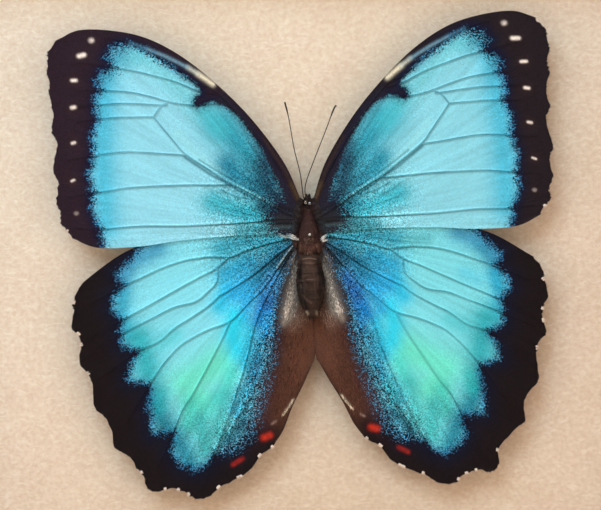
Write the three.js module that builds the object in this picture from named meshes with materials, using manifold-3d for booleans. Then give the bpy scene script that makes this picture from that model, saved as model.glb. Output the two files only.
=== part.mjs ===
// Framed butterfly specimen: a blue butterfly, spread and pinned, in a small glazed shadow-box frame.
// Millimetres, +Z up. The frame lies on its back with the glass up and the butterfly's head towards +Y.
// The origin is the middle of the frame's back.
import * as THREE from 'three';
import Module from 'manifold-3d';
import { mergeVertices } from 'three/addons/utils/BufferGeometryUtils.js';

const wasm = await Module();
wasm.setup();

// Driving dimensions
const wingspan = 120;
const sightWidth = 176;
const sightHeight = 152;
const lipWidth = 5;
const wallWidth = 10;
const frameDepth = 38;
const panelRecess = 4;
const panelThickness = 3;
const boardThickness = 8;
const airDepth = 16;
const glassThickness = 2;
const wingClearance = 6;
const fitGap = 0.3;

// Sizes that follow from them
const rabbetWidth = sightWidth + 2 * lipWidth;
const rabbetHeight = sightHeight + 2 * lipWidth;
const outerWidth = rabbetWidth + 2 * wallWidth;
const outerHeight = rabbetHeight + 2 * wallWidth;
const panelTop = panelRecess + panelThickness;
const boardBottom = panelTop + fitGap;
const boardTop = boardBottom + boardThickness;
const spacerBottom = boardTop + fitGap;
const glassBottom = spacerBottom + airDepth + fitGap;
const lipUnderside = glassBottom + glassThickness + fitGap;
const wingPlane = boardTop + wingClearance;

// Where the specimen is set on the board, and how far its axis is turned from the frame's
const specimenX = 2.04;
const specimenY = 4.08;
const specimenTurn = THREE.MathUtils.degToRad(3);

// The outlines further down are drawn for this wingspan; the two sides differ a little in size
const drawnWingspan = 120;
const specimenScale = wingspan / drawnWingspan;
const rightSideScale = 0.9925;
const leftSideScale = 1.0075;

const materials = {
  wood: { color: 0x3b2417, roughness: 0.5 },
  glass: { color: 0xf2f6f5, roughness: 0.05, transparent: true, opacity: 0.3 },
  board: { color: 0xe8d7c0, roughness: 0.9 },
  hardboard: { color: 0x7a5a3c, roughness: 0.8 },
  steel: { color: 0xb9b9b4, roughness: 0.35, metalness: 1 },
  forewing: { color: 0x49b4dc, roughness: 0.35 },
  hindwing: { color: 0x3fc0c8, roughness: 0.35 },
  body: { color: 0x412a28, roughness: 0.8 },
  limb: { color: 0x1c1512, roughness: 0.6 },
};

const part = new THREE.Group();
const specimen = new THREE.Group();
specimen.position.set(specimenX, specimenY, wingPlane);
specimen.rotation.z = specimenTurn;
specimen.scale.setScalar(specimenScale);
part.add(specimen);

function addPiece(parent, name, geometry, finish) {
  const mesh = new THREE.Mesh(geometry, new THREE.MeshStandardMaterial(materials[finish]));
  mesh.name = name;
  parent.add(mesh);
  return mesh;
}

// Moves every point of a geometry by a rule
function reshape(geometry, rule) {
  const positions = geometry.attributes.position;
  const point = new THREE.Vector3();
  for (let i = 0; i < positions.count; i += 1) {
    point.fromBufferAttribute(positions, i);
    rule(point);
    positions.setXYZ(i, point.x, point.y, point.z);
  }
  return geometry;
}

// A closed mesh from points and triangles, turned inside out if its volume comes out negative
function closedMesh(points, triangles) {
  let volume = 0;
  for (const [a, b, c] of triangles) {
    volume += points[a].dot(points[b].clone().cross(points[c]));
  }
  const geometry = new THREE.BufferGeometry();
  geometry.setAttribute('position', new THREE.Float32BufferAttribute(points.flatMap((p) => p.toArray()), 3));
  geometry.setIndex(triangles.flatMap(([a, b, c]) => (volume > 0 ? [a, b, c] : [a, c, b])));
  return geometry;
}

// The solid form of a closed geometry, and back again
function toSolid(geometry) {
  const bare = geometry.clone();
  bare.deleteAttribute('normal');
  bare.deleteAttribute('uv');
  const merged = mergeVertices(bare, 1e-4);
  return new wasm.Manifold(new wasm.Mesh({
    numProp: 3,
    vertProperties: merged.attributes.position.array,
    triVerts: new Uint32Array(merged.index.array),
  }));
}

function toGeometry(solid) {
  const mesh = solid.getMesh();
  const geometry = new THREE.BufferGeometry();
  geometry.setAttribute('position', new THREE.BufferAttribute(mesh.vertProperties, 3));
  geometry.setIndex(new THREE.BufferAttribute(mesh.triVerts, 1));
  return geometry;
}

function cutAway(geometry, cutters) {
  return toGeometry(cutters.reduce((solid, cutter) => solid.subtract(toSolid(cutter)), toSolid(geometry)));
}

function joinAll(geometries) {
  const [first, ...others] = geometries.map(toSolid);
  return toGeometry(others.reduce((solid, other) => solid.add(other), first));
}

// A rectangle about the origin, as a shape that can take holes
function rectangle(width, height) {
  const shape = new THREE.Shape();
  shape.moveTo(-width / 2, -height / 2);
  shape.lineTo(width / 2, -height / 2);
  shape.lineTo(width / 2, height / 2);
  shape.lineTo(-width / 2, height / 2);
  return shape;
}

function roundHole(x, y, radius) {
  return new THREE.Path().absarc(x, y, radius, 0, 2 * Math.PI, true);
}

function plate(shape, thickness, bottom, curveSegments = 8) {
  const geometry = new THREE.ExtrudeGeometry(shape, { depth: thickness, bevelEnabled: false, curveSegments });
  return geometry.translate(0, 0, bottom);
}

// Frame rails: a moulded section with a rabbet, mitred at both ends, slotted for the retaining tabs
const tabThickness = 0.6;
const tabHalfWidth = 4;
const tabBottom = panelRecess - fitGap - tabThickness;
const tabInWall = 5.2;
const tabOverPanel = 8;
const tabPlace = 0.28;
const slotClearance = 0.5;

function railSection() {
  const width = wallWidth + lipWidth;
  const lipTop = lipUnderside + 1.2;
  const section = new THREE.Shape();
  section.moveTo(0, 0);
  section.lineTo(wallWidth, 0);
  section.lineTo(wallWidth, lipUnderside);
  section.lineTo(width, lipUnderside);
  section.lineTo(width, lipTop);
  section.quadraticCurveTo(width - 5.5, lipTop + 0.3, width - 8, frameDepth);
  section.lineTo(3, frameDepth);
  section.quadraticCurveTo(0, frameDepth, 0, frameDepth - 3);
  return section;
}

// The section's x runs inwards from the outer face and its y runs up, and each end is cut at 45 degrees
function railAlongX(length, offset) {
  const rail = plate(railSection(), 1, 0, 5);
  reshape(rail, (p) => {
    const along = (p.z - 0.5) * (length - 2 * p.x - fitGap * Math.SQRT2);
    p.set(along, p.x - offset, p.y);
  });
  const slots = [-tabPlace, tabPlace].map((place) => {
    const slot = new THREE.BoxGeometry(
      2 * (tabHalfWidth + slotClearance), tabInWall + 1.6, tabThickness + 2 * fitGap);
    return slot.translate(place * length, wallWidth - offset - tabInWall / 2 + 0.2, tabBottom + tabThickness / 2);
  });
  return cutAway(rail, slots);
}

// A steel tab, pointed where it is pushed into the rail and round where it bears on the back panel
function tabAlongX(place, offset) {
  const shape = new THREE.Shape();
  shape.moveTo(0, -tabInWall);
  shape.lineTo(tabHalfWidth, 1.5 - tabInWall);
  shape.lineTo(tabHalfWidth, tabOverPanel - tabHalfWidth);
  shape.absarc(0, tabOverPanel - tabHalfWidth, tabHalfWidth, 0, Math.PI, false);
  shape.lineTo(-tabHalfWidth, 1.5 - tabInWall);
  return plate(shape, tabThickness, tabBottom, 5).translate(place, wallWidth - offset + 0.3, 0);
}

const sides = [
  { name: 'bottom', length: outerWidth, offset: outerHeight / 2, turn: 0 },
  { name: 'right', length: outerHeight, offset: outerWidth / 2, turn: Math.PI / 2 },
  { name: 'top', length: outerWidth, offset: outerHeight / 2, turn: Math.PI },
  { name: 'left', length: outerHeight, offset: outerWidth / 2, turn: -Math.PI / 2 },
];
for (const { name, length, offset, turn } of sides) {
  addPiece(part, `frame_rail_${name}`, railAlongX(length, offset).rotateZ(turn), 'wood');
  for (const [order, place] of [['a', -tabPlace], ['b', tabPlace]]) {
    const tab = tabAlongX(place * length, offset).rotateZ(turn);
    addPiece(part, `retaining_tab_${name}_${order}`, tab, 'steel');
  }
}

// Glass, and the four strips that keep it off the board, hidden behind the lip
const spacerWidth = 4;
const glass = new THREE.BoxGeometry(rabbetWidth - 2 * fitGap, rabbetHeight - 2 * fitGap, glassThickness);
addPiece(part, 'glass_pane', glass.translate(0, 0, glassBottom + glassThickness / 2), 'glass');

function spacer(width, height, x, y) {
  return new THREE.BoxGeometry(width, height, airDepth).translate(x, y, spacerBottom + airDepth / 2);
}
const spacerRow = rabbetHeight / 2 - fitGap - spacerWidth / 2;
const spacerColumn = rabbetWidth / 2 - fitGap - spacerWidth / 2;
const sideSpacerLength = rabbetHeight - 2 * (2 * fitGap + spacerWidth);
addPiece(part, 'spacer_top', spacer(rabbetWidth - 2 * fitGap, spacerWidth, 0, spacerRow), 'board');
addPiece(part, 'spacer_bottom', spacer(rabbetWidth - 2 * fitGap, spacerWidth, 0, -spacerRow), 'board');
addPiece(part, 'spacer_right', spacer(spacerWidth, sideSpacerLength, spacerColumn, 0), 'board');
addPiece(part, 'spacer_left', spacer(spacerWidth, sideSpacerLength, -spacerColumn, 0), 'board');

// Mounting board, with the hole that the pin is pushed into
const pinRadius = 0.3;
const pinPlace = new THREE.Vector2(0.2, 0.75);
const pinOnBoard = pinPlace.clone().multiplyScalar(specimenScale).rotateAround(new THREE.Vector2(), specimenTurn);
const boardShape = rectangle(rabbetWidth - 2 * fitGap, rabbetHeight - 2 * fitGap);
boardShape.holes.push(roundHole(specimenX + pinOnBoard.x, specimenY + pinOnBoard.y, pinRadius + fitGap));
addPiece(part, 'mounting_board', plate(boardShape, boardThickness, boardBottom, 5), 'board');

// Back panel with its sawtooth hanger, which is raised off the panel in the middle and riveted at both ends
const hangerHeight = 68;
const hangerLength = 44;
const hangerWidth = 9;
const hangerThickness = 0.7;
const hangerRise = 1.6;
const hangerBottom = panelRecess - fitGap - hangerThickness;
const bendOuter = 16;
const bendInner = 14.5;
const toothCount = 9;
const toothDepth = 1.2;
const rivetSpacing = 38;
const rivetRadius = 1;

// The bent strip seen from its edge, and the row of notches cut into its lower edge
const strip = new THREE.Shape();
const bends = [[hangerLength / 2, 0], [bendOuter, 0], [bendInner, -hangerRise]];
const lowerEdge = [...bends.map(([x, z]) => [-x, z]), ...[...bends].reverse()];
strip.setFromPoints([
  ...lowerEdge.map(([x, z]) => new THREE.Vector2(x, z)),
  ...[...lowerEdge].reverse().map(([x, z]) => new THREE.Vector2(x, z + hangerThickness)),
]);
const stripSolid = new THREE.ExtrudeGeometry(strip, { depth: hangerWidth, bevelEnabled: false });
stripSolid.rotateX(Math.PI / 2).translate(0, hangerHeight + hangerWidth / 2, hangerBottom);

const pitch = (2 * bendInner - 2) / toothCount;
const notchRow = new THREE.Shape();
notchRow.moveTo(-toothCount * pitch / 2, -1);
for (let k = 0; k <= 2 * toothCount; k += 1) {
  notchRow.lineTo((k - toothCount) * pitch / 2, (k % 2) * toothDepth);
}
notchRow.lineTo(toothCount * pitch / 2, -1);
const notches = plate(notchRow, panelRecess, 0).translate(0, hangerHeight - hangerWidth / 2, 0);

const panelShape = rectangle(rabbetWidth - 2 * fitGap, rabbetHeight - 2 * fitGap);
const rivetHoles = [];
for (const [name, x] of [['left', -rivetSpacing / 2], ['right', rivetSpacing / 2]]) {
  panelShape.holes.push(roundHole(x, hangerHeight, rivetRadius + fitGap));
  const hole = new THREE.CylinderGeometry(rivetRadius + fitGap, rivetRadius + fitGap, 3, 10);
  rivetHoles.push(hole.rotateX(Math.PI / 2).translate(x, hangerHeight, hangerBottom));
  const headTop = hangerBottom - fitGap;
  const rivet = new THREE.LatheGeometry([
    [0, headTop - 1], [1.5, headTop - 0.8], [2.2, headTop], [rivetRadius, headTop],
    [rivetRadius, panelTop], [0, panelTop],
  ].map(([radius, height]) => new THREE.Vector2(radius, height)), 10);
  addPiece(part, `hanger_rivet_${name}`, rivet.rotateX(Math.PI / 2).translate(x, hangerHeight, 0), 'steel');
}
addPiece(part, 'hanger', cutAway(stripSolid, [notches, ...rivetHoles]), 'steel');
addPiece(part, 'back_panel', plate(panelShape, panelThickness, panelRecess, 5), 'hardboard');

// From here on, places are in the specimen's own frame: x across the wings, y towards the head,
// z up from the wing plane, with the origin in the middle of the thorax.

// A body part turned about the y axis and flattened from above
function turnedBody(profile, segments, flatness, centre) {
  const points = profile.map(([radius, y]) => new THREE.Vector2(radius, y));
  const body = new THREE.LatheGeometry(points, segments);
  return body.scale(1, 1, flatness).translate(...centre);
}

const thoraxDrop = 0.6;
const thorax = turnedBody([
  [0, -3.9], [2.2, -3.7], [2.75, -2.4], [2.8, -0.8], [2.6, 0.8], [2.2, 2.2],
  [1.6, 4], [1.1, 5.8], [0.85, 7], [0, 7.2],
], 16, 0.95, [0, 0, -thoraxDrop]);
const pinHole = new THREE.CylinderGeometry(pinRadius + fitGap, pinRadius + fitGap, 12, 10);
pinHole.rotateX(Math.PI / 2).translate(pinPlace.x, pinPlace.y, 0);
addPiece(specimen, 'thorax', cutAway(thorax, [pinHole]), 'body');

// Abdomen: seven rings that overlap a little, widest before the middle
const abdomenLength = 14.8;
const abdomenStart = -4.2;
const abdomenRings = 7;
const abdomenWidth = new THREE.SplineCurve([
  [0, 2.3], [0.2, 3], [0.45, 3.35], [0.7, 2.9], [0.88, 1.8], [1, 0.7],
].map(([t, radius]) => new THREE.Vector2(t, radius)));
const abdomenProfile = [[0, abdomenStart]];
for (let k = 0; k <= 2 * abdomenRings; k += 1) {
  const { x: share, y: radius } = abdomenWidth.getPoint(k / (2 * abdomenRings));
  const seam = k % 2 === 0 ? 0.95 : 1;
  abdomenProfile.push([radius * seam, abdomenStart - share * abdomenLength]);
}
abdomenProfile.push([0, abdomenStart - abdomenLength - 0.3]);
addPiece(specimen, 'abdomen', turnedBody(abdomenProfile.reverse(), 14, 0.85, [-0.2, 0, 0.3]), 'body');

// Head with its two eyes and the two palps in front, all one piece
const headParts = [turnedBody([
  [0, 7.5], [0.8, 7.6], [1.05, 8.2], [1.05, 9.2], [0.7, 9.8], [0, 10],
], 12, 0.95, [0.15, 0, -0.3])];
for (const side of [-1, 1]) {
  const eye = new THREE.SphereGeometry(0.62, 10, 7).translate(0.15 + side * 0.62, 8.75, 0.05);
  const palp = new THREE.SphereGeometry(0.34, 8, 6).scale(1, 2.2, 0.9).translate(0.25 + side * 0.34, 9.9, -0.5);
  headParts.push(eye, palp);
}
addPiece(specimen, 'head', joinAll(headParts), 'body');

// A round tube of changing thickness along a smooth path, closed by a point at each end
function taperedTube(path, radiusAt, tubeSides, steps) {
  const frames = path.computeFrenetFrames(steps, false);
  const points = [path.getPointAt(0)];
  for (let i = 0; i <= steps; i += 1) {
    const centre = path.getPointAt(i / steps);
    for (let k = 0; k < tubeSides; k += 1) {
      const angle = (2 * Math.PI * k) / tubeSides;
      const radius = radiusAt(i / steps);
      const point = centre.clone().addScaledVector(frames.normals[i], radius * Math.cos(angle));
      points.push(point.addScaledVector(frames.binormals[i], radius * Math.sin(angle)));
    }
  }
  points.push(path.getPointAt(1));
  const ends = [frames.tangents[0].clone().negate(), frames.tangents[steps]];
  points[0].addScaledVector(ends[0], radiusAt(0) / 2);
  points.at(-1).addScaledVector(ends[1], radiusAt(1) / 2);
  const triangles = [];
  for (let k = 0; k < tubeSides; k += 1) {
    const next = (k + 1) % tubeSides;
    triangles.push([0, 1 + next, 1 + k]);
    for (let i = 0; i < steps; i += 1) {
      const ring = 1 + i * tubeSides;
      triangles.push([ring + k, ring + next, ring + tubeSides + next], [ring + k, ring + tubeSides + next, ring + tubeSides + k]);
    }
    const lastRing = 1 + steps * tubeSides;
    triangles.push([lastRing + k, lastRing + next, points.length - 1]);
  }
  return closedMesh(points, triangles);
}

// Antennae: a thread that thickens into a slight club at the end
const antennaRoutes = {
  left: [[-0.85, 10.1, 1.0], [-1.3, 15.4, 1.5], [-2.44, 21.4, 1.9], [-3.33, 28.6, 2.1], [-4.08, 32.6, 2.2]],
  right: [[-0.35, 10.3, 1.0], [-0.08, 13.1, 1.4], [2.04, 18.2, 1.7], [5.08, 24.9, 2.0], [7.4, 30.2, 2.1], [8.12, 31.2, 2.1]],
};
const clubStart = 0.8;
const antennaRadius = (t) => 0.15 + 0.08 * THREE.MathUtils.smoothstep(t, clubStart, 0.93);
for (const [name, route] of Object.entries(antennaRoutes)) {
  const path = new THREE.CatmullRomCurve3(route.map((p) => new THREE.Vector3(...p)));
  addPiece(specimen, `antenna_${name}`, taperedTube(path, antennaRadius, 6, 14), 'limb');
}

// The four walking legs, folded back between the body and the board
const legRoutes = {
  mid: [[1.5, 1, -3.3], [4.2, 3.2, -3.5], [5.4, -0.4, -4.6], [6.4, -4.2, -5.3]],
  hind: [[1.5, -1.8, -3.4], [4.6, -2.4, -3.5], [5.2, -7.4, -4.6], [5.8, -11.5, -5.3]],
};
for (const [pair, route] of Object.entries(legRoutes)) {
  for (const [name, side] of [['left', -1], ['right', 1]]) {
    const joints = route.map(([x, y, z]) => new THREE.Vector3(side * x, y, z));
    const path = new THREE.CatmullRomCurve3(joints, false, 'catmullrom', 0.25);
    const leg = taperedTube(path, (t) => 0.36 - 0.2 * t, 6, 12);
    addPiece(specimen, `leg_${pair}_${name}`, leg, 'limb');
  }
}

// The pin: a straight shank with a small round head, pushed through the thorax into the board
const pinHeadRadius = 0.42;
const pinHeadHeight = 5;
const pinTip = boardBottom + 1.5 - wingPlane;
const pinProfile = [[0, pinTip], [pinRadius, pinTip + 1.6], [pinRadius, pinHeadHeight - pinHeadRadius]];
for (let k = 1; k <= 4; k += 1) {
  const angle = (Math.PI * k) / 5 - Math.PI / 2;
  pinProfile.push([pinHeadRadius * Math.cos(angle), pinHeadHeight + pinHeadRadius * Math.sin(angle)]);
}
pinProfile.push([0, pinHeadHeight + pinHeadRadius]);
const pin = new THREE.LatheGeometry(pinProfile.map(([radius, z]) => new THREE.Vector2(radius, z)), 10);
addPiece(specimen, 'pin', pin.rotateX(Math.PI / 2).translate(pinPlace.x, pinPlace.y, 0), 'steel');

// Wing outlines, for a right wing: each wing has a front edge, a hind edge, a root along the thorax
// and an outer margin, which waves out at the veins and in between them.
const wingSkin = 0.4;
const forewingOutline = {
  front: [[1.7, 9.8], [5, 18.2], [12, 28.7], [20, 37.6], [28, 44.6], [36, 49.3], [44, 51.5], [52, 52], [57, 50]],
  margin: [[57, 50], [59.4, 46.9], [59.5, 45.2], [59.9, 42.4], [59.5, 39.4], [59.7, 36.3], [58.8, 32.3], [59.4, 28.3],
    [58.3, 24.8], [59.7, 19.2], [58.7, 16.2], [59.3, 12], [58.3, 8.8], [58.4, 6.5], [57, 4.7], [55.6, 2.6]],
  hind: [[3.1, 0.9], [15, 1.5], [30, 1], [40, 0.1], [50, 0.26], [55.6, 2.6]],
  root: [[1.7, 9.8], [1.5, 7.5], [2.1, 4.5], [2.9, 2], [3.1, 0.9]],
};
const hindwingOutline = {
  front: [[3.2, 0.6], [10, 3.6], [20, 4.6], [30, 3.6], [40, 0.4], [46, -2.2], [53.5, -7.2]],
  hind: [[3.15, -3], [2.2, -5], [0.6, -8], [0.3, -12], [0.3, -20], [0.3, -28], [1.4, -31], [3.5, -35.3], [6.2, -40.2],
    [8.4, -45.1], [10.6, -48.3]],
  root: [[3.2, 0.6], [3.2, -1.2], [3.15, -3]],
};
// The two hindwings wave alike, but not exactly
const hindwingMargins = {
  right: [[53.5, -7.2], [55, -9], [56, -11.8], [55.8, -12.7], [56.8, -16.4], [55.5, -19.2], [55, -21.8], [55.8, -26],
    [54.1, -27.9], [53.2, -31.6], [53.4, -36.5], [50.9, -40.1], [49.5, -43.2], [49.6, -46.8], [46.6, -48.9],
    [43.2, -52.7], [42.8, -56.3], [40.5, -58.3], [37.9, -57.8], [33.2, -59.9], [29.6, -60.8], [25, -58.3],
    [22.7, -57.5], [17.4, -54.9], [15, -51.4], [12.4, -49.9], [10.6, -48.3]],
  left: [[53.5, -7.2], [55.9, -10.4], [56.7, -13.1], [56.5, -14.2], [57.3, -17.7], [56, -20.1], [55.3, -22.3], [55.9, -27],
    [53.9, -29.9], [52.9, -33.1], [52.9, -37.8], [50.5, -40.3], [49, -43.1], [48.6, -47], [45.3, -49.4],
    [43.3, -52.7], [41.8, -56], [39.8, -58.1], [37.4, -57.8], [32.2, -59.2], [29.6, -60.1], [24.4, -57.9],
    [21.3, -56.6], [16.7, -54.2], [14.2, -50.7], [12.2, -49.7], [10.6, -48.3]],
};

// A point of the sheet spanned between four edges: the two ways of ruling it, less the corners both count.
// u runs from the root to the margin, and v from the front edge to the hind edge.
function sheetPoint({ front, hind, root, margin }, u, v) {
  const blend = (a, b, share) => a.clone().lerp(b, share);
  const ruledAcross = blend(front.getPointAt(u), hind.getPointAt(u), v);
  const ruledAlong = blend(root.getPointAt(v), margin.getPoint(v), u);
  const inner = blend(root.getPoint(0), root.getPoint(1), v);
  const outer = blend(margin.getPoint(0), margin.getPoint(1), v);
  return ruledAcross.add(ruledAlong).sub(blend(inner, outer, u));
}

// A wing is that sheet, bent by a height rule and given an even thickness
function wing(outline, side, heightAt, cellsOut, cellsAcross) {
  const edges = {};
  for (const [name, points] of Object.entries(outline)) {
    edges[name] = new THREE.SplineCurve(points.map(([x, y]) => new THREE.Vector2(x, y)));
  }
  const scale = side > 0 ? rightSideScale : leftSideScale;
  const row = cellsAcross + 1;
  const layer = (cellsOut + 1) * row;
  const points = [];
  for (const skin of [wingSkin / 2, -wingSkin / 2]) {
    for (let i = 0; i <= cellsOut; i += 1) {
      for (let j = 0; j <= cellsAcross; j += 1) {
        const u = i / cellsOut;
        const v = j / cellsAcross;
        const { x, y } = sheetPoint(edges, u, v);
        points.push(new THREE.Vector3(side * scale * x, scale * y, heightAt(x, y, u, v) + skin));
      }
    }
  }
  const triangles = [];
  for (let i = 0; i < cellsOut; i += 1) {
    for (let j = 0; j < cellsAcross; j += 1) {
      const [a, b] = [i * row + j, i * row + j + 1];
      const [c, d] = [a + row, b + row];
      triangles.push([a, b, d], [a, d, c], [layer + a, layer + d, layer + b], [layer + a, layer + c, layer + d]);
    }
  }
  const rim = [];
  for (let j = 0; j < cellsAcross; j += 1) rim.push(j);
  for (let i = 0; i < cellsOut; i += 1) rim.push(i * row + cellsAcross);
  for (let j = cellsAcross; j > 0; j -= 1) rim.push(cellsOut * row + j);
  for (let i = cellsOut; i > 0; i -= 1) rim.push(i * row);
  rim.forEach((a, k) => {
    const b = rim[(k + 1) % rim.length];
    triangles.push([b, a, layer + a], [b, layer + a, layer + b]);
  });
  return closedMesh(points, triangles);
}

// Heights above the wing plane: both pairs rise a little towards the tips, the forewings arch over the
// hindwings, and the hindwings sag and dip under the abdomen like a gutter.
const forewingLift = 0.75;
const forewingArch = 0.5;
const hindwingSag = 0.4;
const gutterDepth = 3.3;
const gutterWidth = 4;
const rise = (x) => 0.028 * x - 0.00022 * x * x;
const swell = (u, v) => 16 * u * (1 - u) * v * (1 - v);
const forewingHeight = (x, y, u, v) => forewingLift + rise(x) + forewingArch * swell(u, v);
const hindwingHeight = (x, y, u, v) => {
  const under = THREE.MathUtils.smoothstep(-y, 2, 6) * (1 - THREE.MathUtils.smoothstep(-y, 22, 34));
  return rise(x) - hindwingSag * swell(u, v) - gutterDepth * under * Math.exp(-((x / gutterWidth) ** 2));
};
for (const [name, side] of [['left', -1], ['right', 1]]) {
  addPiece(specimen, `forewing_${name}`, wing(forewingOutline, side, forewingHeight, 11, 30), 'forewing');
  const hindwing = { ...hindwingOutline, margin: hindwingMargins[name] };
  addPiece(specimen, `hindwing_${name}`, wing(hindwing, side, hindwingHeight, 13, 26), 'hindwing');
}

export default part;
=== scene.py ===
import bpy
import numpy as np
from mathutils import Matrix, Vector


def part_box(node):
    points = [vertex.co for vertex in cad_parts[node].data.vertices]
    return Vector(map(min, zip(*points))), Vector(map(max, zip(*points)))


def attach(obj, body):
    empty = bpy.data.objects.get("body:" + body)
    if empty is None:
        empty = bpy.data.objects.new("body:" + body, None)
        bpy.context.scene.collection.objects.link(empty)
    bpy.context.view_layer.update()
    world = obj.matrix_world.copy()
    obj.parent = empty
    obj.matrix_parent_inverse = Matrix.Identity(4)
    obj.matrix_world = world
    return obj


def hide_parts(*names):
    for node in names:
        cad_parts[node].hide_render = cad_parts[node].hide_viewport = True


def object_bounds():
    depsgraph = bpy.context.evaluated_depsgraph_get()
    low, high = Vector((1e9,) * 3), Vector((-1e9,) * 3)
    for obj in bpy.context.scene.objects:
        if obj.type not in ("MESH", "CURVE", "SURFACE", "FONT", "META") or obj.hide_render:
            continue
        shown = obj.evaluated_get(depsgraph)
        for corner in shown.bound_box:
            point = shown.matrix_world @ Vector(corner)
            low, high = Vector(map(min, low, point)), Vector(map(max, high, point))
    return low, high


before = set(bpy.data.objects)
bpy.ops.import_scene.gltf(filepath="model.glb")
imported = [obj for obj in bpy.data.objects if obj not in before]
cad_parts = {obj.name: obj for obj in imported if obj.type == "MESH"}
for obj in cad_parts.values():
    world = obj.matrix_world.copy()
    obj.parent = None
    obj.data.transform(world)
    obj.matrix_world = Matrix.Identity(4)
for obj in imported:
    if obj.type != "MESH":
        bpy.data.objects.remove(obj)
cad_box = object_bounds()

# The view
# The photograph looks straight down on the butterfly, head up, at 0.24 mm to a pixel on the wings.
# The light is one large soft lamp beyond the head, two weak ones at the sides, and a pale room.
MM = 0.001
board_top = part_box("mounting_board")[1].z / MM
wing_plane = board_top + 6
photo_width = 601
mm_per_pixel = 0.24
camera_height = 450
sensor_width = 36

camera_data = bpy.data.cameras.new("camera")
camera_data.sensor_width = sensor_width
camera_data.lens = sensor_width * camera_height / (photo_width * mm_per_pixel)
camera = bpy.data.objects.new("camera", camera_data)
camera.location = (0, 0, (wing_plane + camera_height) * MM)
bpy.context.scene.collection.objects.link(camera)
bpy.context.scene.camera = camera
bpy.context.scene.view_settings.view_transform = "Standard"


def feed(tree, node, inputs):
    """Gives a node's inputs what they take: one that is given a socket is linked to it, or else it is set."""
    for name, value in inputs.items():
        if isinstance(value, bpy.types.NodeSocket):
            tree.links.new(value, node.inputs[name])
        else:
            node.inputs[name].default_value = value


def add_node(tree, kind, inputs=None, **settings):
    """A shader node with its settings and its inputs."""
    made = tree.nodes.new("ShaderNode" + kind)
    for name, value in settings.items():
        setattr(made, name, value)
    feed(tree, made, inputs or {})
    return made


def calculate(tree, operation, *values):
    """The result of one Math node."""
    return add_node(tree, "Math", dict(enumerate(values)), operation=operation).outputs[0]


def blend_colours(tree, share, first, second, kind="MIX"):
    """The second colour laid over the first by a share from 0 to 1."""
    inputs = {0: share, 6: first, 7: second}
    return add_node(tree, "Mix", inputs, data_type="RGBA", blend_type=kind).outputs[2]


def ramp(tree, value, low, high):
    """A value brought from the range low to high onto 0 to 1, with soft ends."""
    inputs = {"Value": value, "From Min": low, "From Max": high}
    return add_node(tree, "MapRange", inputs, interpolation_type="SMOOTHSTEP").outputs["Result"]


def linear(*colour):
    """A screen colour, 0 to 255 for red, green and blue, as the linear colour that shaders work in."""
    share = np.asarray(colour, float) / 255
    return np.where(share <= 0.04045, share / 12.92, ((share + 0.055) / 1.055) ** 2.4)


def shade(*colour):
    """The same with an alpha of one, for a colour socket."""
    return (*linear(*colour), 1.0)


def add_softbox(name, place, width, height, power, tint):
    """A rectangular lamp at a place in millimetres, turned to face the butterfly."""
    data = bpy.data.lights.new(name, "AREA")
    data.shape = "RECTANGLE"
    data.size = width * MM
    data.size_y = height * MM
    data.energy = power
    data.color = tint
    lamp = bpy.data.objects.new(name, data)
    lamp.location = Vector(place) * MM
    aim = Vector((0, 0, wing_plane)) - Vector(place)
    lamp.rotation_euler = aim.to_track_quat("-Z", "Y").to_euler()
    bpy.context.scene.collection.objects.link(lamp)


add_softbox("key_lamp", (-210, 400, 560), 460, 340, 2.75, (0.6, 0.885, 1.06))
for side in (-1, 1):
    add_softbox(f"side_lamp_{side}", (side * 580, -30, 470), 200, 300, 0.42, (1.0, 0.84, 0.7))

# The room is dim straight overhead, which is what the glass mirrors to the camera
world = bpy.data.worlds.new("pale_room")
world.use_nodes = True
bpy.context.scene.world = world
room = world.node_tree
direction = add_node(room, "TexCoord").outputs["Generated"]
upward = add_node(room, "SeparateXYZ", {0: direction}).outputs["Z"]
overhead = ramp(room, upward, 0.95, 0.974)
room_colour = blend_colours(room, overhead, (1.1, 0.87, 0.7, 1), (0.01, 0.009, 0.008, 1))
room.links.new(room_colour, room.nodes["Background"].inputs["Color"])


def make_material(name):
    """A new material, its node tree and its Principled shader."""
    material = bpy.data.materials.new(name)
    material.use_nodes = True
    return material, material.node_tree, material.node_tree.nodes["Principled BSDF"]


def object_place(tree):
    """The place on the piece, in metres, as the rest pose has it."""
    return add_node(tree, "TexCoord").outputs["Object"]


def raise_bump(tree, principled, height, depth, strength=1.0):
    """Feeds a height from 0 to 1 to the shader's normal, as relief of a depth in millimetres."""
    bump = add_node(tree, "Bump", {"Height": height, "Distance": depth * MM, "Strength": strength})
    tree.links.new(bump.outputs["Normal"], principled.inputs["Normal"])


def make_group(name, inputs, outputs):
    """An empty shader node group with named sockets; each is a name, a kind and a first value or none."""
    group = bpy.data.node_groups.new(name, "ShaderNodeTree")
    for way, sockets in (("INPUT", inputs), ("OUTPUT", outputs)):
        for label, kind, value in sockets:
            socket = group.interface.new_socket(label, in_out=way, socket_type="NodeSocket" + kind)
            if value is not None:
                socket.default_value = value
    return group, group.nodes.new("NodeGroupInput").outputs, group.nodes.new("NodeGroupOutput").inputs


def place_group(tree, group, inputs):
    """One use of a node group in a material, and its outputs."""
    return add_node(tree, "Group", inputs, node_tree=group).outputs


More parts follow.
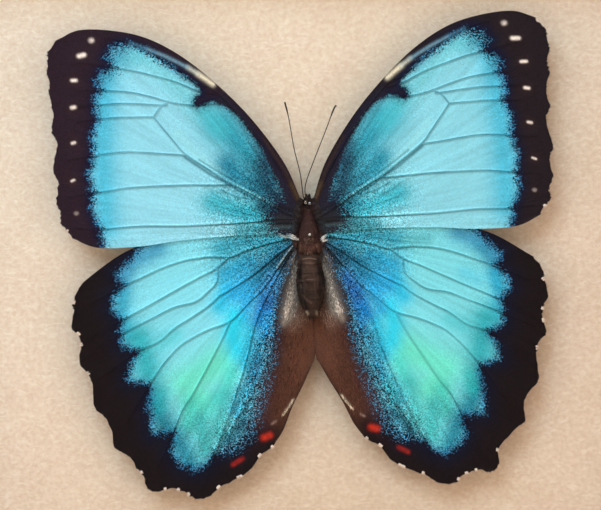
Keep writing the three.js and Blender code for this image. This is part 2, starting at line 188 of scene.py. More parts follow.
# Mottle: one noise for soft blotches and one for fine grain, each with its size in millimetres
mottle, asked, given = make_group(
    "mottle",
    [("Vector", "Vector", None), ("Blotch Size", "Float", 10.0), ("Grain Size", "Float", 0.5),
     ("Grain Share", "Float", 0.4), ("Low", "Color", (0, 0, 0, 1)), ("High", "Color", (1, 1, 1, 1))],
    [("Color", "Color", None), ("Value", "Float", None), ("Grain", "Float", None)])
blotch_scale = calculate(mottle, "DIVIDE", 1 / MM, asked["Blotch Size"])
grain_scale = calculate(mottle, "DIVIDE", 1 / MM, asked["Grain Size"])
blotches = add_node(mottle, "TexNoise", {"Vector": asked["Vector"], "Scale": blotch_scale, "Detail": 4.0})
grains = add_node(mottle, "TexNoise", {"Vector": asked["Vector"], "Scale": grain_scale, "Detail": 3.0})
blotch_value = ramp(mottle, blotches.outputs["Fac"], 0.3, 0.7)
grain_value = ramp(mottle, grains.outputs["Fac"], 0.25, 0.75)
mottled = add_node(mottle, "Mix", {0: asked["Grain Share"], 2: blotch_value, 3: grain_value}).outputs[0]
mottle.links.new(mottled, given["Value"])
mottle.links.new(grain_value, given["Grain"])
mottle.links.new(blend_colours(mottle, mottled, asked["Low"], asked["High"]), given["Color"])


def add_piece(name, points, face_groups, material, replaces=(), seam_angle=None):
    """A mesh from points in millimetres and arrays of faces, one array for each number of corners.

    The faces point outwards: where the volume that they shut in comes out negative, all are turned round.
    """
    points = np.asarray(points, float).reshape(-1, 3)
    volume = 0.0
    for faces in face_groups:
        first = points[faces[:, 0]]
        for k in range(1, faces.shape[1] - 1):
            volume += np.einsum("ij,ij->", first, np.cross(points[faces[:, k]], points[faces[:, k + 1]]))
    if volume < 0:
        face_groups = [faces[:, ::-1] for faces in face_groups]
    corners = np.concatenate([faces.ravel() for faces in face_groups]).astype(np.int32)
    sizes = np.concatenate([np.full(len(faces), faces.shape[1]) for faces in face_groups])
    mesh = bpy.data.meshes.new(name)
    mesh.vertices.add(len(points))
    mesh.vertices.foreach_set("co", (points * MM).ravel())
    mesh.loops.add(len(corners))
    mesh.loops.foreach_set("vertex_index", corners)
    mesh.polygons.add(len(sizes))
    mesh.polygons.foreach_set("loop_start", (np.cumsum(sizes) - sizes).astype(np.int32))
    mesh.update(calc_edges=True)
    mesh.materials.append(material)
    mesh.shade_smooth()
    if seam_angle is not None:
        mesh.set_sharp_from_angle(angle=np.radians(seam_angle))
    piece = bpy.data.objects.new(name, mesh)
    bpy.context.scene.collection.objects.link(piece)
    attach(piece, "root")
    if replaces:
        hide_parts(*replaces)
    return piece


def lay_uv(piece, places):
    """A UV map from one pair of numbers for each point."""
    mesh = piece.data
    corners = np.zeros(len(mesh.loops), np.int32)
    mesh.loops.foreach_get("vertex_index", corners)
    mesh.uv_layers.new(name="UVMap").data.foreach_set("uv", np.asarray(places, float)[corners].ravel())


def lay_values(piece, name, values):
    """A named attribute: one number for each point, or one linear colour."""
    values = np.asarray(values, float)
    if values.ndim == 1:
        piece.data.attributes.new(name, "FLOAT", "POINT").data.foreach_set("value", values)
        return
    colours = np.concatenate([values, np.ones((len(values), 1))], 1)
    piece.data.attributes.new(name, "FLOAT_COLOR", "POINT").data.foreach_set("color", colours.ravel())


def grid_faces(rows, columns, wrap=False):
    """Four-cornered faces between neighbouring points of a grid; wrap joins the last column to the first."""
    row = np.arange(rows - 1)[:, None] * columns
    column = np.arange(columns if wrap else columns - 1)[None, :]
    beside = (column + 1) % columns
    corners = [row + column, row + beside, row + columns + beside, row + columns + column]
    return np.stack(corners, -1).reshape(-1, 4)


floor_half = 900
floor_material, tree, shader = make_material("pale_floor")
floor_look = place_group(tree, mottle, {"Vector": object_place(tree), "Blotch Size": 300, "Grain Size": 2,
                                        "Low": shade(226, 224, 220), "High": shade(234, 232, 229)})
feed(tree, shader, {"Base Color": floor_look["Color"], "Roughness": 0.8})
floor_mesh = bpy.data.meshes.new("floor")
floor_corners = [(-floor_half, -floor_half, 0), (floor_half, -floor_half, 0), (floor_half, floor_half, 0),
                 (-floor_half, floor_half, 0)]
floor_mesh.from_pydata((np.array(floor_corners) * MM).tolist(), [], [(0, 1, 2, 3)])
floor_mesh.materials.append(floor_material)
floor = bpy.data.objects.new("floor", floor_mesh)
bpy.context.scene.collection.objects.link(floor)

# Frame rails
# Four lengths of dark stained hardwood moulding, mitred at the corners and glued.
# The rabbet behind the lip holds the glass and all that is stacked below it.
outer_high = np.array(cad_box[1]) / MM
part_gap = 0.3
lip_thickness = 1.2
lip_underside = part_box("glass_pane")[1].z / MM + part_gap
lip_top = lip_underside + lip_thickness
wall_width = 10
lip_reach = 15
frame_depth = outer_high[2]
# The rail's section: each corner's distance inwards and height, and how far its rounding starts from it
rail_corners = [((wall_width, lip_underside), 0.1), ((lip_reach, lip_underside), 0.25),
                ((lip_reach, lip_top), 0.5), ((9.5, lip_top + 0.3), 3.2), ((7, frame_depth), 0.5),
                ((0, frame_depth), 3.0), ((0, 0), 0.8), ((wall_width, 0), 0.4)]
corner_steps = 6
mitre_gap = 0.1
mitre_ease = 0.2
rail_stations = 24


def eased_outline(corners):
    """A closed outline whose corners are rounded, and how near each point is to the middle of a rounding.

    Each corner gives way to a quadratic curve that starts and ends its cut's length away along both edges.
    """
    places = np.array([place for place, _ in corners], float)
    share = np.linspace(0, 1, corner_steps + 1)[:, None]
    outline = []
    for k, (_, cut) in enumerate(corners):
        corner = places[k]
        ends = [corner + cut * (other - corner) / np.linalg.norm(other - corner)
                for other in (places[k - 1], places[(k + 1) % len(places)])]
        outline.append((1 - share) ** 2 * ends[0] + 2 * share * (1 - share) * corner + share ** 2 * ends[1])
    nearness = np.tile(4 * share[:, 0] * (1 - share[:, 0]), len(corners))
    return np.concatenate(outline), nearness


def rail_points(length, offset, turn):
    """The section carried along the rail and cut at 45 degrees: the length shrinks by twice the way inwards.

    The last step at each end draws the outline in a little, which eases the mitre's edge.
    """
    outline, nearness = eased_outline(rail_corners)
    middle = outline.mean(0)
    station = np.linspace(-0.5, 0.5, rail_stations + 1)
    ease = mitre_ease / length
    station = np.concatenate([station[:1], [ease - 0.5], station[1:-1], [0.5 - ease], station[-1:]])
    draw_in = np.where(np.abs(station) == 0.5, mitre_ease / 10, 0)[:, None, None]
    drawn = outline + (middle - outline) * draw_in
    inwards, height = drawn[..., 0], drawn[..., 1]
    along = station[:, None] * (length - 2 * inwards - mitre_gap * np.sqrt(2))
    across = inwards - offset
    turned = [along * np.cos(turn) - across * np.sin(turn),
              along * np.sin(turn) + across * np.cos(turn), height]
    girth = np.cumsum(np.linalg.norm(np.diff(outline, axis=0, prepend=outline[:1]), axis=1))
    girth, nearness = (np.broadcast_to(values, along.shape) for values in (girth, nearness))
    return np.stack(turned, -1), along, girth, nearness


wood, tree, shader = make_material("dark_stained_hardwood")
wood_uv = add_node(tree, "UVMap", uv_map="UVMap").outputs["UV"]
stretched = add_node(tree, "Mapping", {"Vector": wood_uv, "Scale": (12, 320, 1)}).outputs["Vector"]
figure = add_node(tree, "TexNoise", {"Vector": stretched, "Scale": 1.0, "Detail": 5.0, "Distortion": 0.6})
pores_place = add_node(tree, "Mapping", {"Vector": wood_uv, "Scale": (260, 3600, 1)}).outputs["Vector"]
pores = add_node(tree, "TexNoise", {"Vector": pores_place, "Scale": 1.0, "Detail": 2.0})
pore_mask = ramp(tree, pores.outputs["Fac"], 0.66, 0.52)
figure_mask = ramp(tree, figure.outputs["Fac"], 0.36, 0.66)
stain = blend_colours(tree, figure_mask, shade(38, 21, 13), shade(74, 44, 27))
pored = blend_colours(tree, pore_mask, shade(20, 11, 7), stain)
edge = add_node(tree, "Attribute", attribute_name="edge").outputs["Fac"]
worn = calculate(tree, "MULTIPLY", edge, ramp(tree, figure.outputs["Fac"], 0.5, 0.75))
shading = blend_colours(tree, calculate(tree, "MULTIPLY", worn, 0.45), pored, shade(128, 84, 52))
pore_roughness = calculate(tree, "MULTIPLY_ADD", pore_mask, -0.12, 0.5)
feed(tree, shader, {"Base Color": shading, "Roughness": pore_roughness, "Coat Weight": 0.25,
                    "Coat Roughness": 0.22})
raise_bump(tree, shader, pore_mask, 0.06, 0.6)

rail_sides = [("bottom", 0, 0), ("right", 1, np.pi / 2), ("top", 0, np.pi), ("left", 1, -np.pi / 2)]
for order, (side_name, axis, turn) in enumerate(rail_sides):
    points, along, girth, nearness = rail_points(2 * outer_high[axis], outer_high[1 - axis], turn)
    stations, around = along.shape
    walls = grid_faces(stations, around, wrap=True)
    end = np.arange(around)[None, :]
    rail = add_piece(f"rail_{side_name}", points, [walls, end[:, ::-1], end + (stations - 1) * around], wood,
                     [f"frame_rail_{side_name}"], seam_angle=35)
    lay_uv(rail, np.stack([along.ravel() * MM + order, girth.ravel() * MM], 1))
    lay_values(rail, "edge", nearness.ravel())

# Glass
# One pane of 2 mm float glass, cut to the rabbet and laid loose under the lip.
# Lamps and light from the board pass it unbent, so that the box isn't darkened.
glass, tree, shader = make_material("float_glass")
feed(tree, shader, {"Base Color": (0.985, 1.0, 0.992, 1), "Transmission Weight": 1.0, "Roughness": 0.0,
                    "IOR": 1.52})
float_waves = add_node(tree, "TexNoise", {"Vector": object_place(tree), "Scale": 18.0, "Detail": 1.0})
raise_bump(tree, shader, float_waves.outputs["Fac"], 0.01, 0.2)
rays = add_node(tree, "LightPath").outputs
passing = calculate(tree, "MAXIMUM", rays["Is Shadow Ray"], rays["Is Diffuse Ray"])
clear = add_node(tree, "BsdfTransparent", {"Color": (0.95, 0.96, 0.955, 1)}).outputs["BSDF"]
pane = add_node(tree, "MixShader", {0: passing, 1: shader.outputs["BSDF"], 2: clear}).outputs["Shader"]
tree.links.new(pane, tree.nodes["Material Output"].inputs["Surface"])


def finish_nodes(names, material):
    """Gives solids that keep their shape a material."""
    for name in names:
        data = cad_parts[name].data
        data.materials.clear()
        data.materials.append(material)


finish_nodes(["glass_pane"], glass)

# Spacers and mounting board
# The spacers are strips of cream card that keep the glass off the board.
# The board is foam faced with mottled cream paper, with a dimple where the pin goes in.
card, tree, shader = make_material("cream_card")
card_look = place_group(tree, mottle, {"Vector": object_place(tree), "Blotch Size": 6, "Grain Size": 0.3,
                                       "Low": shade(214, 193, 164), "High": shade(228, 209, 182)})
feed(tree, shader, {"Base Color": card_look["Color"], "Roughness": 0.85})
raise_bump(tree, shader, card_look["Grain"], 0.05, 0.5)
finish_nodes(["spacer_top", "spacer_bottom", "spacer_left", "spacer_right"], card)

# Where the specimen's own axes lie: the thorax, the turn of the whole specimen, and the pin in its axes
specimen_place = np.array([2.04, 4.08])
specimen_turn = np.radians(3)
pin_place = np.array([0.2, 0.75])


def to_frame(points):
    """Points of the specimen's own axes, with the thorax at the origin, as points of the frame's axes."""
    points = np.asarray(points, float)
    x, y, z = points[..., 0], points[..., 1], points[..., 2]
    across = specimen_place[0] + x * np.cos(specimen_turn) - y * np.sin(specimen_turn)
    along = specimen_place[1] + x * np.sin(specimen_turn) + y * np.cos(specimen_turn)
    return np.stack([across, along, wing_plane + z], -1)


def soft_noise(x, y, seed):
    """Smooth noise from -1 to 1: a number for each whole-number corner, eased from corner to corner."""
    column, row = np.floor(x), np.floor(y)
    across, along = x - column, y - row
    across = across ** 2 * (3 - 2 * across)
    along = along ** 2 * (3 - 2 * along)

    def corner(i, j):
        wave = np.sin(i * 127.1 + j * 311.7 + seed * 74.7) * 43758.5453
        return 2 * (wave - np.floor(wave)) - 1

    near = corner(column, row) * (1 - across) + corner(column + 1, row) * across
    far = corner(column, row + 1) * (1 - across) + corner(column + 1, row + 1) * across
    return near * (1 - along) + far * along


def bell(distance, width):
    """1 at no distance and less further off, by exp(-(distance / width)^2)."""
    return np.exp(-(distance / width) ** 2)


def closed_sheet(top, bottom, step):
    """Points and faces of a thin body: a fine grid above, a grid coarser by step below, and a rim between.

    Along the rim each coarse edge takes a fan of fine ones: half go to its start and the rest to its end.
    """
    rows, columns = top.shape[:2]
    low_rows, low_columns = bottom.shape[:2]

    def rim(count_rows, count_columns):
        index = np.arange(count_rows * count_columns).reshape(count_rows, count_columns)
        return np.concatenate([index[0, :-1], index[:-1, -1], index[-1, :0:-1], index[:0:-1, 0]])

    upper = rim(rows, columns)
    lower = rim(low_rows, low_columns) + rows * columns
    here = np.arange(len(upper))
    apex = lower[(here // step + (here % step >= step // 2)) % len(lower)]
    fans = np.stack([upper, np.roll(upper, -1), apex], 1)
    block = np.arange(len(lower))
    links = np.stack([upper[block * step + step // 2], np.roll(lower, -1), lower], 1)
    above = grid_faces(rows, columns)
    below = grid_faces(low_rows, low_columns)[:, ::-1] + rows * columns
    points = np.concatenate([top.reshape(-1, 3), bottom.reshape(-1, 3)])
    return points, [above, below, np.concatenate([fans, links])[:, ::-1]]


paper, tree, shader = make_material("mottled_cream_paper")
place = object_place(tree)
warm = place_group(tree, mottle, {"Vector": place, "Blotch Size": 15, "Grain Size": 2.4, "Grain Share": 0.4,
                                  "Low": shade(222, 198, 174), "High": shade(246, 231, 212)})
pinkish = place_group(tree, mottle, {"Vector": place, "Blotch Size": 8, "Grain Size": 1.3,
                                     "Low": shade(232, 204, 188), "High": shade(236, 219, 196)})
fibre_bend = add_node(tree, "TexNoise", {"Vector": place, "Scale": 260.0, "Detail": 2.0}).outputs["Color"]
bent = add_node(tree, "VectorMath", {0: fibre_bend, "Scale": 0.004}, operation="SCALE").outputs[0]
bent_place = add_node(tree, "VectorMath", {0: bent, 1: place}, operation="ADD").outputs[0]
fibre_run = {"Vector": bent_place, "Scale": (420, 1500, 1), "Rotation": (0, 0, 0.35)}
long_place = add_node(tree, "Mapping", fibre_run).outputs["Vector"]
fibres = add_node(tree, "TexNoise", {"Vector": long_place, "Scale": 1.0, "Detail": 3.0})
fibre_mask = ramp(tree, fibres.outputs["Fac"], 0.5, 0.72)
pulp = place_group(tree, mottle, {"Vector": place, "Blotch Size": 1.1, "Grain Size": 0.35,
                                  "Low": shade(216, 190, 166), "High": shade(250, 238, 220)})
cream = blend_colours(tree, 0.45, warm["Color"], pinkish["Color"])
pulpy = blend_colours(tree, 0.46, cream, pulp["Color"])
fibred = blend_colours(tree, calculate(tree, "MULTIPLY", fibre_mask, 0.5), pulpy, shade(252, 242, 226))
# Painted light and shade: the paper is painted paler towards the top left and at both side edges, and darker
# towards the bottom right
place_axes = add_node(tree, "SeparateXYZ", {0: place}).outputs
towards_corner = calculate(tree, "MULTIPLY_ADD", place_axes["X"], -0.7, place_axes["Y"])
painted_light_share = ramp(tree, towards_corner, -0.09, 0.13)
painted_corner_light = blend_colours(tree, painted_light_share, (0.93, 0.88, 0.87, 1), (1.055, 1.08, 1.12, 1))
from_centre = ramp(tree, calculate(tree, "ABSOLUTE", place_axes["X"]), 0.02, 0.08)
painted_side_light = blend_colours(tree, from_centre, (0.99, 0.99, 0.99, 1), (1.06, 1.07, 1.1, 1))
tone = blend_colours(tree, 1.0, painted_corner_light, painted_side_light, "MULTIPLY")
paper_with_painted_light = blend_colours(tree, 1.0, fibred, tone, "MULTIPLY")
feed(tree, shader, {"Base Color": paper_with_painted_light, "Roughness": 0.9, "Specular IOR Level": 0.2})
raise_bump(tree, shader, pulp["Value"], 0.08, 0.6)

board_low, board_high = (np.array(corner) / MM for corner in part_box("mounting_board"))
board_step = 4
board_cells = (240, 208)
paper_inset = 0.1
dimple_depth = 0.5
dimple_radius = 0.9
across = np.linspace(board_low[0], board_high[0], board_cells[0] + 1)[:, None]
along = np.linspace(board_low[1], board_high[1], board_cells[1] + 1)[None, :]
x, y = np.broadcast_arrays(across, along)
pin_x, pin_y = to_frame([*pin_place, 0])[:2]
relief = 0.05 * soft_noise(x / 7, y / 7, 1) + 0.03 * soft_noise(x / 2.3, y / 2.3, 2)
dimple = dimple_depth * bell(np.hypot(x - pin_x, y - pin_y), dimple_radius)
board_face = np.stack([x, y, board_high[2] - paper_inset + relief - dimple], -1)
board_back = board_face[::board_step, ::board_step].copy()
board_back[..., 2] = board_low[2]
board_points, board_faces = closed_sheet(board_face, board_back, board_step)
add_piece("mounting_board_papered", board_points, board_faces, paper, ["mounting_board"],
          seam_angle=40)

# Wings
# Each wing is a thin membrane under shingled scales, stiffened by hollow veins, and grew as one piece.
# The scales are blue over the middle and black or brown elsewhere; the membrane sags between the veins.
# Left is -1 and right is 1, and the left wings are a little the larger
two_sides = (("left", -1), ("right", 1))
wing_scale = {-1: 1.0075, 1: 0.9925}
forewing_cells = (220, 260)
hindwing_cells = (190, 320)
membrane = 0.16
coarse_step = 5
vein_spacing = 0.45
vein_lift = 0.06
thinnest_vein = 0.22
vein_sides = 8
paint_labels = ("ground", "shine", "cover", "contrast")


def smooth_line(points, share):
    """Places along a smooth line: a uniform Catmull-Rom curve through the points, its ends doubled."""
    points = np.asarray(points, float)
    spot = np.clip(np.asarray(share, float), 0, 1) * (len(points) - 1)
    first = np.minimum(np.floor(spot).astype(int), len(points) - 2)
    t = (spot - first)[..., None]
    before, start, end, after = (points[np.clip(first + k, 0, len(points) - 1)] for k in (-1, 0, 1, 2))
    leave, arrive = (end - before) / 2, (after - start) / 2
    return ((2 * start - 2 * end + leave + arrive) * t ** 3
            + (3 * end - 3 * start - 2 * leave - arrive) * t ** 2 + leave * t + start)


def even_line(points, share):
    """Places along the same line, spaced evenly by distance."""
    dense = np.linspace(0, 1, 400)
    steps = np.linalg.norm(np.diff(smooth_line(points, dense), axis=0), axis=1)
    travelled = np.concatenate([[0], np.cumsum(steps)]) / steps.sum()
    return smooth_line(points, np.interp(share, travelled, dense))


def sheet_places(outline, cells_out, cells_across):
    """The sheet spanned between four edges: the two ways of ruling it, less the corners that both count."""
    out = np.linspace(0, 1, cells_out + 1)
    across = np.linspace(0, 1, cells_across + 1)
    u, v = out[:, None, None], across[None, :, None]
    front, hind = even_line(outline["front"], out)[:, None], even_line(outline["hind"], out)[:, None]
    root, margin = even_line(outline["root"], across)[None], smooth_line(outline["margin"], across)[None]
    inner = root[:, :1] * (1 - v) + root[:, -1:] * v
    outer = margin[:, :1] * (1 - v) + margin[:, -1:] * v
    places = front * (1 - v) + hind * v + root * (1 - u) + margin * u - inner * (1 - u) - outer * u
    return places, u[..., 0] + 0 * v[..., 0], v[..., 0] + 0 * u[..., 0]


def distance_to(x, y, route):
    """The distance from each place to a line of straight pieces, or to a single point."""
    route = np.asarray(route, float)
    nearest = np.hypot(x - route[0, 0], y - route[0, 1])
    for (start_x, start_y), (end_x, end_y) in zip(route[:-1], route[1:]):
        run, climb = end_x - start_x, end_y - start_y
        share = ((x - start_x) * run + (y - start_y) * climb) / (run ** 2 + climb ** 2)
        share = np.clip(share, 0, 1)
        nearest = np.minimum(nearest, np.hypot(x - start_x - share * run, y - start_y - share * climb))
    return nearest


def distance_to_any(x, y, routes):
    """The distance from each place to the nearest of several lines."""
    return np.min([distance_to(x, y, route) for route in routes], axis=0)


def depth_inside(x, y, outline):
    """The distance to a closed outline, positive inside it.

    A place is inside if a ray from it crosses the outline an odd number of times.
    """
    outline = np.asarray(outline, float)
    inside = np.zeros(np.shape(x), bool)
    for (start_x, start_y), (end_x, end_y) in zip(outline, np.roll(outline, -1, 0)):
        if start_y != end_y:
            crossing = start_x + (y - start_y) * (end_x - start_x) / (end_y - start_y)
            inside ^= ((start_y > y) != (end_y > y)) & (x < crossing)
    distance = distance_to(x, y, np.concatenate([outline, outline[:1]]))
    return np.where(inside, distance, -distance)


def lay_strokes(colour, x, y, strokes, sharpness=2):
    """Brush strokes over a colour: each is a route, a half width, a screen colour and a strength.

    A stroke covers by its strength times exp(-(distance / half width) to the power of the sharpness).
    """
    for route, half_width, tint, strength in strokes:
        cover = strength * np.exp(-(distance_to(x, y, route) / half_width) ** sharpness)[..., None]
        colour = colour * (1 - cover) + linear(*tint) * cover
    return colour


def smooth_step(value, low, high):
    """0 below low, 1 above high, and 3t^2-2t^3 between."""
    t = np.clip((value - low) / (high - low), 0, 1)
    return t * t * (3 - 2 * t)


# Scales: cells across the wing. Each shows the blue or the ground by a draw against the cover, and the
# blue ones vary in brightness by the contrast. Place is the wing's own place in tenths of a metre.
scales, asked, given = make_group(
    "wing scales",
    [("Place", "Vector", None), ("Size", "Float", 0.26), ("Cover", "Float", 1.0), ("Contrast", "Float", 0.2),
     ("Ground", "Color", (0, 0, 0, 1)), ("Shine", "Color", (0, 0, 1, 1))],
    [("Color", "Color", None), ("Mask", "Float", None), ("Height", "Float", None)])
cell_scale = calculate(scales, "DIVIDE", 100, asked["Size"])
cells = add_node(scales, "TexVoronoi", {"Vector": asked["Place"], "Scale": cell_scale},
                 voronoi_dimensions="2D")
draws = add_node(scales, "SeparateColor", {0: cells.outputs["Color"]}).outputs
stretched_cover = calculate(scales, "MULTIPLY_ADD", asked["Cover"], 1.2, -0.1)
lead = calculate(scales, "SUBTRACT", stretched_cover, draws["Red"])
scale_mask = ramp(scales, lead, -0.1, 0.1)
from_middle = calculate(scales, "MULTIPLY_ADD", draws["Green"], 2.0, -1.0)
blue_tone = calculate(scales, "MULTIPLY_ADD", from_middle, asked["Contrast"], 1.0)
ground_tone = calculate(scales, "MULTIPLY_ADD", from_middle, 0.25, 1.0)
toned_blue, toned_ground = (
    add_node(scales, "VectorMath", {0: asked[name], "Scale": tone}, operation="SCALE").outputs[0]
    for name, tone in (("Shine", blue_tone), ("Ground", ground_tone)))
scales.links.new(blend_colours(scales, scale_mask, toned_ground, toned_blue), given["Color"])
scales.links.new(scale_mask, given["Mask"])
scales.links.new(calculate(scales, "SUBTRACT", 1.0, cells.outputs["Distance"]), given["Height"])


def scale_material(name, size, satin=0.45, dull=0.6):
    """Shingled scales of a size in millimetres: satin where they are blue and duller where they are not."""
    material, tree, shader = make_material(name)
    look = place_group(tree, scales, {
        "Place": add_node(tree, "UVMap", uv_map="UVMap").outputs["UV"],
        "Size": size,
        "Cover": add_node(tree, "Attribute", attribute_name="cover").outputs["Fac"],
        "Contrast": add_node(tree, "Attribute", attribute_name="contrast").outputs["Fac"],
        "Ground": add_node(tree, "Attribute", attribute_name="ground").outputs["Color"],
        "Shine": add_node(tree, "Attribute", attribute_name="shine").outputs["Color"]})
    roughness = calculate(tree, "MULTIPLY_ADD", look["Mask"], satin - dull, dull)
    feed(tree, shader, {"Base Color": look["Color"], "Roughness": roughness, "Specular IOR Level": 0.06})
    raise_bump(tree, shader, look["Height"], 0.03, 0.35)
    return material


forewing_material = scale_material("forewing_scales", size=0.19)
hindwing_material = scale_material("hindwing_scales", size=0.18)

# Places are for the right wings, as the way outwards and forwards from the thorax; the left are mirrored
forewing = {
    "front": [(1.7, 9.8), (5, 18.2), (12, 28.7), (20, 37.6), (28, 44.6), (36, 49.3), (44, 51.5), (52, 52),
              (57, 50)],
    "margin": [(57, 50), (59.4, 46.9), (59.5, 45.2), (59.9, 42.4), (59.5, 39.4), (59.7, 36.3), (58.8, 32.3),
               (59.4, 28.3), (58.3, 24.8), (59.7, 19.2), (58.7, 16.2), (59.3, 12), (58.3, 8.8), (58.4, 6.5),
               (57, 4.7), (55.6, 2.6)],
    "hind": [(3.1, 0.9), (15, 1.5), (30, 1), (40, 0.1), (50, 0.26), (55.6, 2.6)],
    "root": [(1.7, 9.8), (1.5, 7.5), (2.1, 4.5), (2.9, 2), (3.1, 0.9)],
}
# Each vein is a route and the thickness at its start and its end
forewing_veins = [
    ([(2.4, 9), (6, 16.5), (12, 25.5), (18, 33.2), (22, 36.9), (24.4, 37.6), (30, 42.2), (35, 45.8),
      (40, 48.4), (46, 50)], 0.5, 0.24),
    ([(20, 35), (24.5, 36.2), (30, 38.8), (35, 40.4), (40, 41.9), (46.5, 43.3), (53, 44.6)], 0.26, 0.16),
    ([(20, 33), (25.3, 32.9), (30, 33.6), (35, 35.2), (40, 36.6), (45, 37.3), (52, 37.8)], 0.28, 0.16),
    ([(32, 33.7), (33, 33.3), (40, 34), (45, 34.2), (53, 33.9)], 0.2, 0.14),
    ([(32, 33.7), (33.5, 33), (35.3, 30.6)], 0.16, 0.16),
    ([(35.3, 30.6), (40, 30.8), (45, 30.9), (53, 30.4)], 0.22, 0.14),
    ([(3.6, 5.4), (6.5, 7), (10, 9.4), (15, 12.5), (18, 14), (22, 16.8), (28, 21.2), (31, 24.8),
      (35.3, 30.6)], 0.5, 0.2),
    ([(28, 21.2), (33, 21.7), (38, 22.3), (43, 22.7), (50, 22.2), (56, 21.4)], 0.24, 0.14),
    ([(18, 14), (19, 13.7), (24, 13.9), (28, 14.1), (35, 14.2), (43, 14.1), (50, 13.3), (56, 12.6)],
     0.24, 0.14),
    ([(3.2, 4.6), (8.5, 4.9), (15, 4.6), (30, 4.5), (40, 4.9), (50, 4.7), (55, 5.2)], 0.4, 0.14),
]
# Folds are creases without a vein, and the blue is the outline of the blue scales
forewing_folds = [[(41.5, 27.5), (50.5, 26.7)], [(41, 18.6), (51, 17.5)], [(45, 9.8), (50, 9.2)],
                  [(9, 11), (18, 19.5), (27, 28.5)], [(12, 17), (20, 26.5), (24.5, 31.5)]]
forewing_blue = [(2, 2), (4.2, 9), (7, 15), (10, 22), (15, 29.6), (18, 32.2), (21, 33.7), (23.2, 33),
                 (24.6, 32.4), (25.5, 32.9), (25.2, 34.6), (23.6, 35.3), (24.1, 36.6), (24.6, 37.8),
                 (30, 42.4), (35, 46), (40, 48.6), (42.5, 48.7), (45, 47.5), (46.5, 45.3), (45.5, 43.3),
                 (47.8, 42), (48.8, 40), (48.3, 37.6), (49.3, 35.5), (49.4, 32.7), (49, 30.7), (50, 28),
                 (50.6, 26.7), (50.3, 24.3), (50.5, 22.2), (51, 20), (51.8, 17.8), (51.2, 15), (51.2, 13),
                 (51.5, 9.3), (50.9, 7.2), (50, 5), (49.7, 3), (49, 0.8), (48.6, -3), (2, -3)]

hindwing = {
    "front": [(3.2, 0.6), (10, 3.6), (20, 4.6), (30, 3.6), (40, 0.4), (46, -2.2), (53.5, -7.2)],
    "hind": [(3.15, -3), (2.2, -5), (0.6, -8), (0.2, -12), (0.07, -20), (0.07, -28), (1.3, -31),
             (3.5, -35.3), (6.2, -40.2), (8.4, -45.1), (10.6, -48.3)],
    "root": [(3.2, 0.6), (3.2, -1.2), (3.15, -3)],
}
# The two hindwings wave alike along the margin, but not exactly
hindwing_margins = {
    "right": [(53.5, -7.2), (55, -9), (56, -11.8), (55.8, -12.7), (56.8, -16.4), (55.5, -19.2), (55, -21.8),
              (55.8, -26), (54.1, -27.9), (53.2, -31.6), (53.4, -36.5), (50.9, -40.1), (49.5, -43.2),
              (49.6, -46.8), (46.6, -48.9), (43.2, -52.7), (42.9, -55.3), (42.5, -57.1), (41.5, -58.3),
              (40, -58.5), (38.2, -57.8), (36, -58.2), (33.6, -59.4), (32.1, -60.6), (29.9, -60.9),
              (27.4, -60.2), (25, -58.3), (22.7, -57.5), (17.4, -54.9), (15, -51.4), (12.4, -49.9),
              (10.6, -48.3)],
    "left": [(53.5, -7.2), (55.9, -10.4), (56.7, -13.1), (56.5, -14.2), (57.3, -17.7), (56, -20.1),
             (55.3, -22.3), (55.9, -27), (53.9, -29.9), (52.9, -33.1), (52.9, -37.8), (50.5, -40.3),
             (49, -43.1), (48.6, -47), (45.3, -49.4), (43.3, -52.7), (42.1, -54.6), (41.6, -56.3),
             (40.5, -57.9), (38.7, -58.3), (37, -57.8), (34.6, -57.9), (32.4, -59), (30.4, -60.2),
             (28.1, -60.3), (26.2, -59.5), (24.4, -57.9), (21.3, -56.6), (16.7, -54.2), (14.2, -50.7),
             (12.2, -49.7), (10.6, -48.3)],
}
hindwing_veins = [
    ([(3.4, 0.2), (8, -0.3), (15, -2), (19, -3.4), (24, -3.2), (30, -3.8), (35, -5.2), (40, -7.2),
      (44.5, -9), (52, -12.5)], 0.4, 0.16),
    ([(19.7, -3.7), (22.5, -6), (27, -8.1), (32, -10.6), (38, -13.6), (45, -17), (53, -21)], 0.24, 0.16),
    ([(22.2, -5.5), (22.5, -9), (25, -11.7), (28, -13.7), (33, -14.8), (38, -17), (45.5, -20.3), (53, -24)],
     0.18, 0.14),
    ([(22, -12.5), (25, -15), (30, -18), (33, -19.7), (37, -22.7), (42.5, -25), (51, -30.5)], 0.2, 0.16),
    ([(3.4, -0.6), (8, -3.6), (13, -7.4), (18, -10.4), (22, -12.5)], 0.3, 0.2),
    ([(3, -0.8), (5.5, -3.4), (9.5, -8.8), (12, -11.8), (15, -14.3), (19.7, -18.6), (25, -20.5),
      (28.5, -22), (32, -24), (36, -28), (40, -33.2), (46, -42)], 0.36, 0.18),
    ([(20, -19), (22, -23), (25.5, -29), (29.5, -35.5), (32, -39), (35, -45), (39, -53)], 0.14, 0.18),
    ([(3, -2), (5, -3.6), (11, -13.5), (14, -20), (16, -27), (18.5, -34), (21, -40.7), (24.7, -49),
      (28, -57)], 0.36, 0.18),
    ([(3, -3), (8, -15), (10, -25), (12, -29.5), (15, -36), (19, -41.5), (22, -47)], 0.24, 0.12),
]
hindwing_folds = [[(38, -18), (46, -20.4)], [(24, -24), (30, -42)], [(20, -22), (25, -38)],
                  [(27, -23), (33, -36)]]
